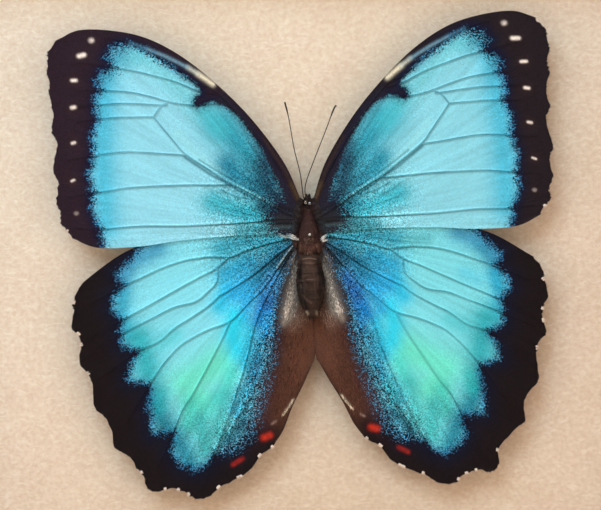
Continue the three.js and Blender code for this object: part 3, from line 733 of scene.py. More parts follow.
hindwing_blue = [(2, 6), (36, 4), (40.5, -0.2), (44, -3.7), (46.3, -6), (45.3, -8.8), (47.5, -11.5),
                 (48, -14.5), (46, -17), (46.4, -20), (45.9, -23.5), (42.5, -25), (44.2, -28),
                 (44.8, -31.8), (41.5, -32.7), (40, -33.5), (40.5, -38), (40, -44.6), (35, -45),
                 (35.8, -49), (33.5, -52.5), (30, -54), (27, -52.8), (25, -50.5), (20, -49.3), (17, -47),
                 (15, -43), (13, -37), (10.5, -30), (9, -22), (8, -15), (5, -8), (3, -4)]

# The blue's colour over each wing, laid as soft strokes from the paler middle outwards; besides the blue's
# own colour they hold painted sheen, paler, greener and deeper where the scales catch the lamp
forewing_shine = [
    ([(46.5, 44), (47, 34), (48, 22), (48, 5)], 4.0, (86, 188, 222), 0.95),
    ([(41.5, 46.5), (46, 43), (48, 39)], 2.6, (76, 158, 192), 0.85),
    ([(9, 15), (15, 23), (19, 28)], 5.0, (54, 150, 176), 1.0),
    ([(20, 27), (23, 31)], 3.0, (80, 188, 208), 0.8),
    ([(12, 12), (16.5, 16), (18, 18)], 3.0, (36, 134, 164), 0.85),
    ([(12, 6), (17, 7.5), (22, 9.5)], 3.4, (66, 174, 197), 0.95),
    ([(38, 45), (41, 43.5)], 2.0, (100, 186, 210), 0.6),
    ([(5, 3), (16, 2)], 2.2, (52, 136, 156), 0.8),
    ([(5, 7), (8.5, 11.5), (10, 18)], 3.0, (40, 78, 100), 1.0),
    ([(7, 6), (11, 8)], 1.8, (30, 92, 116), 0.8),
    ([(2, 4), (7, 5)], 3.2, (44, 56, 68), 1.0),
    # Painted highlight: a pale band along the ridge beside the cell's lower vein
    ([(21, 17), (25, 20.5), (30, 26.5)], 1.1, (156, 224, 240), 0.6),
    ([(26, 34), (33, 42), (38, 46)], 3.0, (112, 200, 216), 0.6),
    # Painted shade on both sides of the cell's lower vein, and a painted highlight along its crest
    ([(25, 19.9), (21.6, 17.4), (14.7, 13.1), (9.6, 10), (6.2, 7.8)], 0.28, (28, 88, 110), 0.5),
    ([(28.4, 20.6), (22.4, 16.1), (15.4, 11.8), (10.4, 8.7), (6.8, 6.3)], 0.34, (22, 78, 98), 0.7),
    ([(28, 21.2), (22, 16.8), (15, 12.5), (10, 9.4)], 0.2, (120, 196, 216), 0.7),
    ([(22.5, 12), (20, 10.3), (17.5, 9.6)], 0.3, (60, 140, 160), 0.6),
    ([(20, 12.3), (17, 10.8), (14, 10)], 0.3, (40, 108, 130), 0.6),
    ([(25, 11), (21, 8.6)], 0.25, (84, 160, 178), 0.5),
]
hindwing_shine = [
    ([(36, -0.5), (42, -3.5), (45, -8)], 2.6, (80, 156, 196), 0.95),
    ([(45, -11), (45.5, -16), (44, -21)], 2.6, (58, 164, 200), 0.9),
    ([(41.5, -22), (39.8, -30)], 3.8, (56, 172, 188), 0.95),
    ([(22, -28), (27, -31), (31, -33), (27, -38)], 4.6, (114, 229, 210), 0.95),
    ([(30, -38), (31, -43)], 2.4, (78, 196, 186), 0.8),
    ([(20, -31), (22, -36)], 2.2, (86, 216, 208), 0.8),
    ([(40, -35), (37.5, -41), (35.5, -44)], 3.2, (36, 128, 152), 0.95),
    ([(33.5, -47), (31, -52)], 3.2, (40, 128, 154), 0.95),
    ([(28, -42), (27, -49)], 2.5, (70, 174, 180), 0.9),
    ([(22, -37), (24, -45)], 2.6, (76, 176, 182), 0.8),
    ([(18.5, -17), (19.5, -22), (18.5, -26)], 2.6, (46, 212, 248), 0.9),
    ([(20, -11), (22, -15)], 2.4, (46, 198, 244), 0.9),
    ([(15, -5), (20, -7.5)], 3.2, (46, 158, 204), 0.95),
    ([(12.5, -9.5), (15.5, -12.5)], 2.8, (40, 138, 190), 0.95),
    ([(16, -9.5), (18.5, -12.5)], 2.4, (48, 168, 228), 0.9),
    ([(15, -13.5), (16.5, -18)], 1.8, (54, 174, 234), 0.9),
    ([(15, -21), (16.5, -29)], 2.0, (44, 194, 234), 0.9),
    ([(10.5, -17), (12, -23)], 1.8, (48, 136, 204), 0.95),
    ([(11, -13), (13, -19)], 2.2, (36, 136, 210), 1.0),
    ([(13, -24), (15.5, -33), (19, -40)], 2.4, (60, 146, 184), 0.95),
    ([(18, -43), (22, -47.5)], 2.0, (38, 98, 122), 0.9),
    ([(8, -1), (15, 0), (21, -1.5)], 3.2, (60, 154, 182), 0.95),
    ([(6, -3), (12, -7)], 3.4, (38, 114, 150), 1.0),
    ([(8, -9), (10, -14)], 2.4, (58, 124, 182), 1.0),
    ([(9, -10), (9.8, -12.5), (10.8, -16)], 1.7, (46, 96, 190), 0.4),
    ([(3, -1), (6, -6)], 2.6, (44, 74, 98), 1.0),
]
# The two wings of a pair differ a little in colour and in their painted sheen, so each side has a few strokes
# of its own
forewing_side_shine = {
    -1: [([(17, 15.5), (19, 18.5)], 2.4, (22, 112, 144), 0.55),
         ([(10, 12), (12, 14)], 2.0, (18, 72, 98), 0.5),
         ([(8.5, 6.2), (11, 7.8)], 1.6, (20, 68, 92), 0.4),
         ([(14.5, 6.5), (17, 7.2)], 1.8, (40, 146, 174), 0.55),
         ([(9.4, 18.5), (11, 22)], 1.6, (36, 70, 92), 0.5)],
    1: [([(17, 15.5), (19, 18)], 2.2, (34, 142, 168), 0.45),
        ([(9, 6.4), (12, 8)], 1.8, (52, 142, 170), 0.7),
        ([(9.4, 18.5), (11, 22)], 1.8, (34, 62, 84), 0.7)],
}
hindwing_side_shine = {
    -1: [([(33, -21.5), (36, -23)], 2.2, (88, 204, 220), 0.6),
         ([(37, -35), (37.4, -38)], 2.0, (30, 164, 178), 0.65),
         ([(18, -18.5), (18.5, -22)], 2.0, (30, 208, 240), 0.5),
         ([(8.3, -9.6), (9.8, -12.4)], 1.5, (70, 150, 204), 0.6),
         ([(10.5, -18.5), (11.6, -21.6)], 1.6, (60, 168, 228), 0.6),
         ([(17.4, -36), (18.6, -39.6)], 1.8, (78, 176, 206), 0.6),
         ([(13.5, -28.6), (14.6, -32)], 1.6, (40, 110, 154), 0.6),
         ([(24, -37), (26, -39)], 2.0, (74, 196, 196), 0.5)],
    1: [([(41, -4.2), (43.4, -6.4)], 2.0, (44, 136, 172), 0.55),
        ([(24, -1.8), (28.4, -1.9)], 1.6, (96, 178, 192), 0.8),
        ([(37, -10.4), (40, -12)], 2.0, (92, 196, 228), 0.55),
        ([(44, -10.8), (44.6, -14)], 1.6, (36, 162, 208), 0.55),
        ([(33, -21.5), (36, -23)], 2.2, (84, 202, 218), 0.6),
        ([(37, -35), (37.4, -38)], 2.0, (44, 184, 186), 0.6),
        ([(17.4, -36), (18.6, -39.6)], 1.8, (76, 190, 206), 0.7)],
}
# White spots before the forewing's margin: middle, length, half width, slope and strength
forewing_spots = {
    -1: [((49.1, 49.45), 0.5, 0.6, 0.1, 0.75), ((51.6, 46), 1.7, 0.55, -0.2, 1),
         ((53.7, 40.2), 1.3, 0.42, 0.05, 1), ((54.2, 33.8), 1.1, 0.42, -0.2, 1),
         ((54.6, 25.4), 0.9, 0.34, -0.3, 0.95), ((55.2, 16.5), 0.9, 0.27, -0.45, 0.9),
         ((54.8, 8.7), 0.6, 0.45, -0.2, 0.3)],
    1: [((49.6, 49.2), 0.5, 0.6, 0.1, 0.75), ((52.1, 45.4), 2.0, 0.5, -0.05, 1),
        ((53.8, 39.7), 1.6, 0.38, 0.0, 1), ((54.2, 33.3), 1.3, 0.38, -0.2, 1),
        ((54.5, 25), 1.1, 0.32, -0.25, 0.95), ((55.1, 16.3), 1.1, 0.25, -0.45, 0.9),
        ((54.8, 8.7), 0.6, 0.45, -0.2, 0.3)],
}


def silk(x, y, seed):
    """Fine streaks of lighter and darker scales that run from the body outwards, from -1 to 1."""
    reach = np.hypot(x, y)
    angle = np.arctan2(y - 2, x)
    return 0.6 * soft_noise(angle * 46, reach / 11, seed) + 0.4 * soft_noise(angle * 110, reach / 6, seed + 1)


def less_red(colour):
    """The paler colours a little less red, which evens out the light's warmth."""
    red = colour[..., :1]
    return colour - 0.018 * np.clip(red / 0.1, 0, 1) * (1, 0, 0)


def paint_forewing(x, y, side, vein_distance):
    """The forewing's ground and blue colours, share of blue scales and contrast at each place."""
    pale = linear(149, 216, 240) if side < 0 else linear(143, 214, 236)
    shine = lay_strokes(np.broadcast_to(pale, (*x.shape, 3)), x, y,
                        forewing_shine + forewing_side_shine[side])
    depth = depth_inside(x, y, forewing_blue)
    costal = smooth_step(-x, -30, -25)[..., None]
    rim = (0.85 - 0.15 * costal) * bell(np.clip(depth + 0.4, 0, None), 1.5)[..., None]
    shine = shine * (1 - rim) + (linear(56, 118, 178) * (1 - costal) + linear(34, 66, 92) * costal) * rim
    shine = less_red(shine)
    fray = 0.35 * soft_noise(x * 0.7, y * 0.7, 3 + side) + 0.2 * soft_noise(x * 1.9, y * 1.9, 5 + side)
    streak = 1.1 * bell(vein_distance, 0.45) * smooth_step(x, 34, 46)
    blur = 1 - 0.65 * costal[..., 0]
    cover = smooth_step((depth + fray * blur - streak) / blur, -1.5, 2.6)
    apex = bell(distance_to(x, y, [(42, 48), (45.5, 44.5), (46 + side, 42)]), 2.6) * (0.44 + 0.14 * side)
    near_base = smooth_step(-np.hypot(x - 2.5, y - 4.5), -10, -3.5)
    basal = smooth_step(-np.hypot(x - 3, y - 4.5), -24, -7)
    cover = cover * (1 - apex) * (1 - 0.88 * near_base) * (1 - 0.2 * basal)
    specks = bell(distance_to(x, y, [(35, 44), (40, 43), (39, 38)]), 3.5)
    cover = cover - 0.07 * specks
    contrast = 0.09 + 0.74 * smooth_step(-np.hypot(x - 3, y - 5), -29, -9) + 0.4 * rim[..., 0]
    contrast = contrast + 0.16 * bell(np.clip(depth, 0, None), 5)
    black = linear(42, 27, 38) if side < 0 else linear(34, 25, 31)
    ground = np.broadcast_to(black, (*x.shape, 3))
    navy = bell(np.maximum(-depth, 0), 1.5)[..., None] * 0.8
    ground = ground * (1 - navy) + linear(13, 19, 48) * navy
    ground = lay_strokes(ground, x, y, [
        ([(3, 6), (7, 15), (13, 26), (19, 34)], 1.6, (36, 32, 46), 0.8),
        ([(2, 9), (3.6, 13)], 0.6, (78, 60, 43), 0.85),
        ([(3.6, 13), (5, 16.5), (9.5, 24)], 0.35, (58, 42, 36), 0.6),
        ([(2, 3), (6, 4)], 3.0, (44, 42, 46), 0.9),
        ([(3, 6.6), (8, 8)], 0.5, (24, 22, 28), 0.7),
        ([(3, 2.8), (9, 3)], 0.35, (66, 82, 88), 0.7),
        ([(3, 3.6), (9, 4)], 0.3, (18, 18, 24), 0.8),
        ([(5, 18.9), (12, 29.3), (20, 38.2)], 0.45, (20, 15, 15), 0.9),
        ([(20.9, 37.6), (22.6, 39), (24.2, 40.2)], 0.6, (232, 222, 200), 1.0),
        ([(24.2, 40.2), (26.6, 41.9)], 0.5, (204, 208, 200), 0.8),
        ([(26.6, 41.9), (32, 44.9), (36, 46.7)], 0.42, (124, 166, 192), 0.7),
        ([(36, 46.7), (40, 48.4)], 0.4, (84, 130, 160), 0.5),
    ])
    spots = []
    for (spot_x, spot_y), length, half_width, slope, strength in forewing_spots[side]:
        run = np.array([1, slope]) * (length - half_width) / 2
        route = [(spot_x - run[0], spot_y - run[1]), (spot_x + run[0], spot_y + run[1])]
        ground = lay_strokes(ground, x, y, [(route, 1.3, (58, 38, 38), 0.4 * strength)])
        spots.append((route, half_width, (250, 234, 228), strength))
    return lay_strokes(ground, x, y, spots, sharpness=3), shine, cover, contrast


def paint_hindwing(x, y, side, vein_distance):
    """The hindwing's ground and blue colours, share of blue scales and contrast at each place."""
    pale = linear(136, 221, 243) if side < 0 else linear(130, 219, 236)
    shine = lay_strokes(np.broadcast_to(pale, (*x.shape, 3)), x, y,
                        hindwing_shine + hindwing_side_shine[side])
    depth = depth_inside(x, y, hindwing_blue)
    inner = smooth_step(-x, -26, -15) * smooth_step(-y, 16, 28)
    rim = 0.85 * bell(np.clip(depth + 0.4, 0, None), 1.5 + 1.2 * inner)[..., None]
    near_body = (smooth_step(-x, -20, -12) * (1 - inner))[..., None]
    edge_blue = linear(50, 112, 172) * (1 - near_body) + linear(50, 84, 130) * near_body
    edge_blue = edge_blue * (1 - inner[..., None]) + linear(64, 108, 156) * inner[..., None]
    shine = shine * (1 - rim) + edge_blue * rim
    shine = less_red(shine)
    fray = 0.35 * soft_noise(x * 0.7, y * 0.7, 8 + side) + 0.25 * soft_noise(x * 1.9, y * 1.9, 11 + side)
    streak = 1.3 * bell(vein_distance, 0.5) * smooth_step(np.hypot(x, y), 38, 48)
    blur = 1 + 1.5 * inner
    cover = smooth_step((depth + fray - streak) / blur, -1.6, 2.6)
    anal_band = bell(distance_to(x, y, [(5, -5), (10, -15), (13, -26), (17, -37), (22, -47)]), 3.2)
    basal = smooth_step(-np.hypot(x - 3, y), -24, -7)
    cover = cover * (1 - 0.15 * anal_band) * (1 - 0.22 * basal)
    speckled = np.maximum(smooth_step(-np.hypot(x - 3, y), -29, -9), anal_band)
    contrast = 0.09 + 0.74 * speckled + 0.4 * rim[..., 0]
    contrast = contrast + 0.2 * bell(np.clip(depth, 0, None), 6) + 0.26 * smooth_step(-y, 33, 45)
    ground = np.broadcast_to(linear(26, 17, 19), (*x.shape, 3))
    navy = bell(np.maximum(-depth, 0), 3)[..., None] * 0.8
    ground = ground * (1 - navy) + linear(14, 18, 40) * navy
    ground = lay_strokes(ground, x, y, [
        ([(3, -24), (5, -32), (9, -40)], 5.0, (88, 54, 42), 1.0),
        ([(1, -22), (4, -30)], 3.0, (96, 60, 46), 0.8),
        ([(11, -34), (13.5, -43)], 2.0, (62, 38, 42), 0.8),
        ([(12, -46), (16, -50)], 1.6, (32, 18, 22), 0.8),
        ([(2, -5), (4, -12), (5.5, -18)], 2.4, (126, 119, 114), 0.9),
        ([(3.2, -7), (5.2, -14), (7, -20)], 0.7, (176, 164, 154), 0.45),
        ([(1.5, -16), (4.5, -21)], 1.8, (128, 92, 78), 0.5),
        ([(1.2, -31), (6, -40), (10, -48)], 0.5, (52, 32, 26), 0.7),
        ([(5.8, -38.2), (8.3, -41.5)], 0.28, (222, 200, 180), 0.6),
        ([(10.2, -43.1), (11, -43.6)], 0.3, (170, 140, 130), 0.6),
    ])
    # Painted light and shade on the root vein: a pale crest on the left wing and a darker one on the right,
    # as the lamp falls on them, and a painted shade line beside it
    root_vein = [(3, -0.8), (5.5, -3.4), (8, -6.6)]
    painted_crest_light = linear(168, 190, 200) if side < 0 else linear(60, 100, 134)
    painted_vein_shade = bell(distance_to(x + 0.25, y + 0.45, root_vein), 0.3)
    shine = shine * (1 - 0.8 * painted_vein_shade)[..., None]
    on_painted_crest = 0.6 * bell(distance_to(x, y, root_vein), 0.14)[..., None]
    shine, ground = (colour * (1 - on_painted_crest) + painted_crest_light * on_painted_crest for colour in (shine, ground))
    flicker = 0.5 + 0.5 * soft_noise(x * 1.6, y * 1.6, 90 + side)
    shift = 0.4 * side
    red = [
        ([(12.2 + shift, -46.4), (13.6 + shift, -46.8)], 0.8, (206, 52, 34), 1.0),
        ([(18.8 + shift / 2, -51.6), (21 + shift / 2, -52.8)], 0.55, (158, 38, 34), 0.95),
    ]
    marked = lay_strokes(ground, x, y, red, sharpness=2.4)
    ground = ground + (marked - ground) * (0.62 + 0.38 * flicker)[..., None]
    return ground, shine, cover, contrast


def rise(x):
    """Both pairs rise a little towards the tips."""
    return 0.028 * x - 0.00022 * x * x


def swell(u, v):
    """0 along all four edges of a wing and 1 in the middle."""
    return 16 * u * (1 - u) * v * (1 - v)


def forewing_height(x, y, u, v):
    """Above the wing plane: the rise, arched over the hindwing."""
    return 0.62 + rise(x) + 0.5 * swell(u, v)


def hindwing_height(x, y, u, v):
    """Above the wing plane: the rise, sagging, with a gutter that dips under the abdomen."""
    under = smooth_step(-y, 2, 6) * (1 - smooth_step(-y, 22, 34))
    return rise(x) - 0.4 * swell(u, v) - 3.3 * under * bell(x, 4)


def close_rings(rings, first, last):
    """Points and faces of a row of rings, closed by a point at each end."""
    count, around = rings.shape[:2]
    points = np.concatenate([rings.reshape(-1, 3), [first], [last]])
    start = np.arange(around)
    following = (start + 1) % around
    final = (count - 1) * around
    pole = np.full(around, count * around)
    caps = np.concatenate([np.stack([following, start, pole], 1),
                           np.stack([start + final, following + final, pole + 1], 1)])
    return points, [grid_faces(count, around, wrap=True), caps]


def tube(route, radii, around):
    """A round tube along a route: circles square to it, and a point at each end."""
    along = np.gradient(route, axis=0)
    along /= np.linalg.norm(along, axis=1, keepdims=True)
    beside = np.cross(along, (0, 0, 1.0))
    beside /= np.linalg.norm(beside, axis=1, keepdims=True)
    above = np.cross(beside, along)
    angle = np.linspace(0, 2 * np.pi, around, endpoint=False)[None, :, None]
    spread = np.cos(angle) * beside[:, None] + np.sin(angle) * above[:, None]
    first = route[0] - along[0] * radii[0] / 2
    last = route[-1] + along[-1] * radii[-1] / 2
    return close_rings(route[:, None] + radii[:, None, None] * spread, first, last)


def join(bodies):
    """Several sets of points and faces as one."""
    points = np.concatenate([body[0] for body in bodies])
    offsets = np.cumsum([0] + [len(body[0]) for body in bodies[:-1]])
    kinds = sorted({faces.shape[1] for body in bodies for faces in body[1]})
    groups = []
    for kind in kinds:
        groups.append(np.concatenate([faces + offset for offset, body in zip(offsets, bodies)
                                      for faces in body[1] if faces.shape[1] == kind]))
    return points, groups


def nearest_height(x, y, grid_x, grid_y, heights):
    """The height of the grid point nearest to each place."""
    gaps = (x[:, None] - grid_x.ravel()[None]) ** 2 + (y[:, None] - grid_y.ravel()[None]) ** 2
    return heights.ravel()[gaps.argmin(1)]


def add_wing(name, side, outline, veins, folds, cells, height_rule, painter, material):
    """One wing: the sheet with its relief, painted, with its veins as tubes half sunk in it.

    The margin is ragged by noise. Each vein also has a painted highlight line beside a painted shade line.
    """
    scale = wing_scale[side]
    places, u, v = sheet_places(outline, *cells)
    x, y = places[..., 0], places[..., 1]
    ragged = 0.26 * soft_noise(v * 80, v * 0, 21 + side) + 0.14 * soft_noise(v * 220, v * 0, 22 + side)
    pull = smooth_step(u, 0.96, 1.0)
    x, y = x + ragged * pull * x / 60, y + ragged * pull * y / 60
    routes = [smooth_line(route, np.linspace(0, 1, 6 * len(route))) for route, _, _ in veins]
    vein_distance, fold_distance = distance_to_any(x, y, routes), distance_to_any(x, y, folds)
    reach = np.hypot(x, y)
    angle = np.arctan2(y - 3, x)
    height = height_rule(x, y, u, v)
    height += (0.1 + 0.16 * bell(reach, 16)) * bell(vein_distance, 0.4) + 0.09 * bell(fold_distance, 0.3)
    height -= 0.26 * (1 - bell(vein_distance, 2.2)) * swell(u, v) ** 0.3
    pleats = 0.05 * soft_noise(angle * 60, reach / 9, 31 + side)
    pleats += 0.03 * soft_noise(angle * 140, reach / 6, 32 + side)
    height += pleats * smooth_step(reach, 8, 30)
    top = to_frame(np.stack([side * scale * x, scale * y, height + membrane / 2], -1))
    under = np.stack([side * scale * x, scale * y, height - membrane / 2], -1)[::coarse_step, ::coarse_step]
    points, faces = closed_sheet(top, to_frame(under), coarse_step)
    wing = add_piece(name + "_scaled", points, faces, material, [name], seam_angle=50)
    ground, shine, cover, contrast = painter(x, y, side, vein_distance)
    near = 0.3 + 0.7 * bell(reach, 26)
    # Painted light and shade: beside each vein a paler line on the side towards the lamp and a darker one on
    # the far side, multiplied into the blue
    lit, shaded = (distance_to_any(x + way * 0.1 * side, y - way * 0.24, routes) for way in (1, -1.2))
    relief = (1 + 0.55 * near * bell(lit, 0.24)) * (1 - (0.28 + 0.6 * near) * bell(shaded, 0.26))
    shine = shine * (relief * (1 + (0.09 + 0.36 * contrast) * silk(x, y, 60 + side)))[..., None]

    def both(values):
        """Values for the upper face, and those of the same places for the lower one."""
        below = values[::coarse_step, ::coarse_step]
        return np.concatenate([values.reshape(-1, *values.shape[2:]), below.reshape(-1, *below.shape[2:])])

    lay_uv(wing, both(np.stack([x, y], -1) / 100))
    for label, values in zip(paint_labels, (ground, shine, cover, contrast)):
        lay_values(wing, label, both(values))

    tubes, spots = [], []
    for route, start_width, end_width in veins:
        length = np.linalg.norm(np.diff(np.array(route), axis=0), axis=1).sum()
        share = np.linspace(0, 1, int(length / vein_spacing) + 2)
        line = even_line(route, share)
        inside = nearest_height(line[:, 0], line[:, 1], x[::2, ::2], y[::2, ::2], height[::2, ::2])
        radii = np.maximum(start_width + (end_width - start_width) * share, thinnest_vein) / 2
        centre = to_frame(np.stack([side * scale * line[:, 0], scale * line[:, 1], inside + vein_lift], -1))
        tubes.append(tube(centre, radii, vein_sides))
        spots.append(np.concatenate([np.repeat(line, vein_sides, 0), line[:1], line[-1:]]))
    points, faces = join(tubes)
    spots = np.concatenate(spots)
    veining = add_piece(name + "_veins", points, faces, material, [name])
    ground, shine, cover, contrast = painter(spots[:, 0], spots[:, 1], side, np.full(len(spots), 9.0))
    lay_uv(veining, spots / 100)
    # The veins' own scales are dark; their crests are painted paler, most towards the base, a painted
    # highlight where they face the lamp
    painted_crest_light = 0.66 * smooth_step(-np.hypot(spots[:, 0], spots[:, 1]), -34, -16)
    painted_crest_light += 0.34 + 0.3 * soft_noise(spots[:, 0] * 0.22, spots[:, 1] * 0.22, 70 + side)
    painted_crest_light = np.clip(painted_crest_light, 0, 1)[:, None]
    shine = shine * ((0.22, 0.4, 0.48) * (1 - painted_crest_light) + (1.15, 1.12, 1.08) * painted_crest_light)
    for label, values in zip(paint_labels, (ground * 0.8, shine, cover, contrast)):
        lay_values(veining, label, values)
    return x, y, height


wing_grids = {}
for side_name, side in two_sides:
    wing_grids["fore", side] = add_wing(
        f"forewing_{side_name}", side, forewing, forewing_veins, forewing_folds,
        forewing_cells, forewing_height, paint_forewing, forewing_material)
    wing_grids["hind", side] = add_wing(
        f"hindwing_{side_name}", side, {**hindwing, "margin": hindwing_margins[side_name]},
        hindwing_veins, hindwing_folds, hindwing_cells, hindwing_height, paint_hindwing, hindwing_material)

# Fringe
# The wings end in a fringe of short dark scales, white in the hollows of the margin.
# Each hair is modelled, and all of one wing's are one piece.
fringe_count = 900
hair_points = 10


def hair_bodies(roots, aims, lengths, widths, bends):
    """Tapered three-sided hairs, each from its root along its aim to a point.

    A hair bends with the square of the way along it. It has three rings of three points, and its tip.
    """
    count = len(roots)
    share = np.array([0, 0.35, 0.7])[None, :, None]
    aims = aims / np.linalg.norm(aims, axis=1, keepdims=True)
    reach = aims * lengths[:, None]
    line = roots[:, None] + reach[:, None] * share + bends[:, None] * share ** 2
    beside = np.cross(aims, (0.31, 0.17, 0.93))
    beside /= np.linalg.norm(beside, axis=1, keepdims=True)
    above = np.cross(beside, aims)
    angle = (np.arange(3) * 2 * np.pi / 3)[None, :, None]
    spread = np.cos(angle) * beside[:, None] + np.sin(angle) * above[:, None]
    thickness = widths[:, None, None] / 2 * (1 - 0.7 * share)
    rings = line[:, :, None] + thickness[..., None] * spread[:, None]
    points = np.concatenate([rings.reshape(count, hair_points - 1, 3), (roots + reach + bends)[:, None]], 1)
    start = np.arange(count)[:, None, None] * hair_points
    side, beyond = np.arange(3), (np.arange(3) + 1) % 3
    walls = np.concatenate([np.stack([side + k, beyond + k, beyond + k + 3, side + k + 3], 1)
                            for k in (0, 3)])
    tips = np.stack([side + 6, beyond + 6, np.full(3, hair_points - 1)], 1)
    ends = np.concatenate([tips, [[2, 1, 0]]])
    return points.reshape(-1, 3), [(start + walls).reshape(-1, 4), (start + ends).reshape(-1, 3)]


def per_hair(values):
    """One value for each hair, repeated for its points."""
    return np.repeat(values, hair_points, axis=0)


def tinted_material(name, roughness, gloss):
    """A material whose colour is the piece's own tint attribute, varied a little from place to place."""
    material, tree, shader = make_material(name)
    tint = add_node(tree, "Attribute", attribute_name="tint").outputs["Color"]
    look = place_group(tree, mottle, {"Vector": object_place(tree), "Blotch Size": 1.1, "Grain Size": 0.16,
                                      "Low": (0.72, 0.72, 0.72, 1), "High": (1.2, 1.2, 1.2, 1)})
    colour = blend_colours(tree, 1.0, tint, look["Color"], "MULTIPLY")
    varied = calculate(tree, "MULTIPLY_ADD", look["Grain"], 0.15, roughness)
    feed(tree, shader, {"Base Color": colour, "Roughness": varied, "Specular IOR Level": gloss})
    raise_bump(tree, shader, look["Grain"], 0.03, 0.5)
    return material


hair_material = tinted_material("insect_hair", roughness=0.6, gloss=0.12)
shell_material = tinted_material("insect_shell", roughness=0.6, gloss=0.12)
draw = np.random.default_rng(7)


def scatter(*size):
    """Seeded random numbers from -1 to 1."""
    return draw.uniform(-1, 1, size)


# White marks along the margins: a place and how many hairs
hindwing_white = [(56, -20.2, 40), (55.4, -22.5, 30), (54, -29.5, 30), (55.9, -12.6, 30), (42.6, -53.4, 50),
                  (35, -58.9, 50), (11.4, -49, 120), (14.4, -51, 120), (19.3, -55.8, 80), (24.5, -58.2, 90),
                  (32.8, -59.8, 60), (37.3, -58, 60)]
forewing_white = [(57, 4.8, 70)]


def add_fringe(name, side, grid, marks):
    """Hairs along the outer margin, square to it, leaning a little, and a white tuft at each mark."""
    scale = wing_scale[side]
    edge = np.stack([grid[0][-1], grid[1][-1], grid[2][-1]], -1)
    steps = np.arange(len(edge))
    spot = draw.uniform(0, len(edge) - 1, fringe_count)
    for x, y, count in marks:
        nearest = np.hypot(edge[:, 0] - x, edge[:, 1] - y).argmin()
        spot = np.concatenate([spot, nearest + 1.3 * scatter(count)])
    white = np.arange(len(spot)) >= fringe_count
    roots = np.stack([np.interp(spot, steps, edge[:, k]) for k in range(3)], -1)
    run = np.gradient(edge[:, :2], axis=0)
    run = np.stack([np.interp(spot, steps, run[:, k]) for k in range(2)], -1)
    out = np.stack([-run[:, 1], run[:, 0], 0 * spot], -1) / np.linalg.norm(run, axis=1)[:, None]
    out *= np.sign((out[:, :2] * (roots[:, :2] - edge[:, :2].mean(0))).sum(1).mean())
    aims = out + 0.35 * scatter(len(spot), 3)
    lengths = 0.3 + 0.16 * scatter(len(spot)) + 0.25 * white
    mirror = np.array([side * scale, scale, 1])
    lift = np.array([0, 0, 0.1]) * white[:, None]
    inward = 0.14 + 0.3 * white * np.abs(scatter(len(spot)))
    roots = (roots - inward[:, None] * out + lift) * mirror
    points, faces = hair_bodies(roots, aims * mirror, lengths, 0.09 + 0.06 * white,
                                0.08 * scatter(len(spot), 3))
    dark = linear(30, 20, 22) * (1 + 0.3 * scatter(len(spot), 1))
    piece = add_piece(name + "_fringe", to_frame(points), faces, hair_material, [name])
    lay_values(piece, "tint", per_hair(np.where(white[:, None], linear(250, 232, 222), dark)))


for side_name, side in two_sides:
    add_fringe(f"forewing_{side_name}", side, wing_grids["fore", side], forewing_white)
    add_fringe(f"hindwing_{side_name}", side, wing_grids["hind", side], hindwing_white)

# Thorax, abdomen and head
# Each is a dark brown shell, which the short hairs of a later section cover.
# The abdomen is seven rings that slide into one another, dried and a little shrunken.
# A profile is a list of pairs: the radius and the place along the body
thorax_profile = [(0, -3.9), (1.4, -3.85), (2.2, -3.6), (2.75, -2.4), (2.8, -0.8), (2.6, 0.8), (2.2, 2.2),
                  (1.6, 4), (1.1, 5.8), (0.85, 6.8), (0.5, 7.15), (0, 7.2)]
abdomen_start = -4.2
abdomen_length = 14.8
abdomen_rings = 7
abdomen_profile = [(0, -4.1), (1.6, -4.15), (2.3, -4.3), (3, -7.2), (3.35, -10.9), (2.9, -14.6),
                   (1.8, -17.2), (0.7, -19), (0, -19.3)]
head_profile = [(0, 7.5), (0.5, 7.5), (0.85, 7.7), (1.05, 8.3), (1.02, 9.2), (0.7, 9.8), (0.4, 9.97), (0, 10)]


class TurnedForm:
    """A body turned about the y axis from a smooth profile of radius against y, and flattened from above.

    A relief rule may add to the radius, from y and the angle, which is 90 degrees on top.
    """

    def __init__(self, profile, flatness, centre, relief=None):
        self.profile, self.flatness, self.centre, self.relief = profile, flatness, centre, relief

    def place(self, share, angle):
        """Places on the surface, by the share of the way along the profile and the angle."""
        radius, y = np.moveaxis(even_line(self.profile, share), -1, 0)
        if self.relief is not None:
            radius = radius + self.relief(y, angle)
        placed = (radius * np.cos(angle), y, self.flatness * radius * np.sin(angle))
        return np.stack([middle + away for middle, away in zip(self.centre, placed)], -1)

    def body(self, along, around):
        """Points and faces of the whole form."""
        share = np.linspace(0, 1, along + 2)[1:-1, None]
        angle = np.linspace(0, 2 * np.pi, around, endpoint=False)[None]
        share, angle = np.broadcast_arrays(share, angle)
        ends = [np.add(self.centre, (0, self.profile[k][1], 0)) for k in (0, -1)]
        return close_rings(self.place(share, angle), *ends)


def thorax_relief(y, angle):
    """A groove across behind the middle, one along the top, a raised shield, a hind groove and lumps."""
    upward = np.clip(np.sin(angle), 0, 1)
    across = -0.16 * bell(y + 1.1 + 0.5 * np.cos(angle) ** 2, 0.22) * upward
    along = -0.05 * bell(angle - np.pi / 2, 0.12) * smooth_step(y, -1, 1)
    shield = 0.1 * bell(y + 2, 0.6) * upward
    rear = -0.12 * bell(y + 3, 0.2) * upward
    lumps = 0.24 * soft_noise(np.cos(angle) * 3.6, y * 1.7, 41)
    lumps = lumps + 0.17 * soft_noise(np.cos(angle) * 9, y * 4.2, 42)
    lumpy = upward * smooth_step(-y, -1.2, 0.2) * smooth_step(y, -3.9, -3.4)
    return across + along + shield + rear + lumps * lumpy


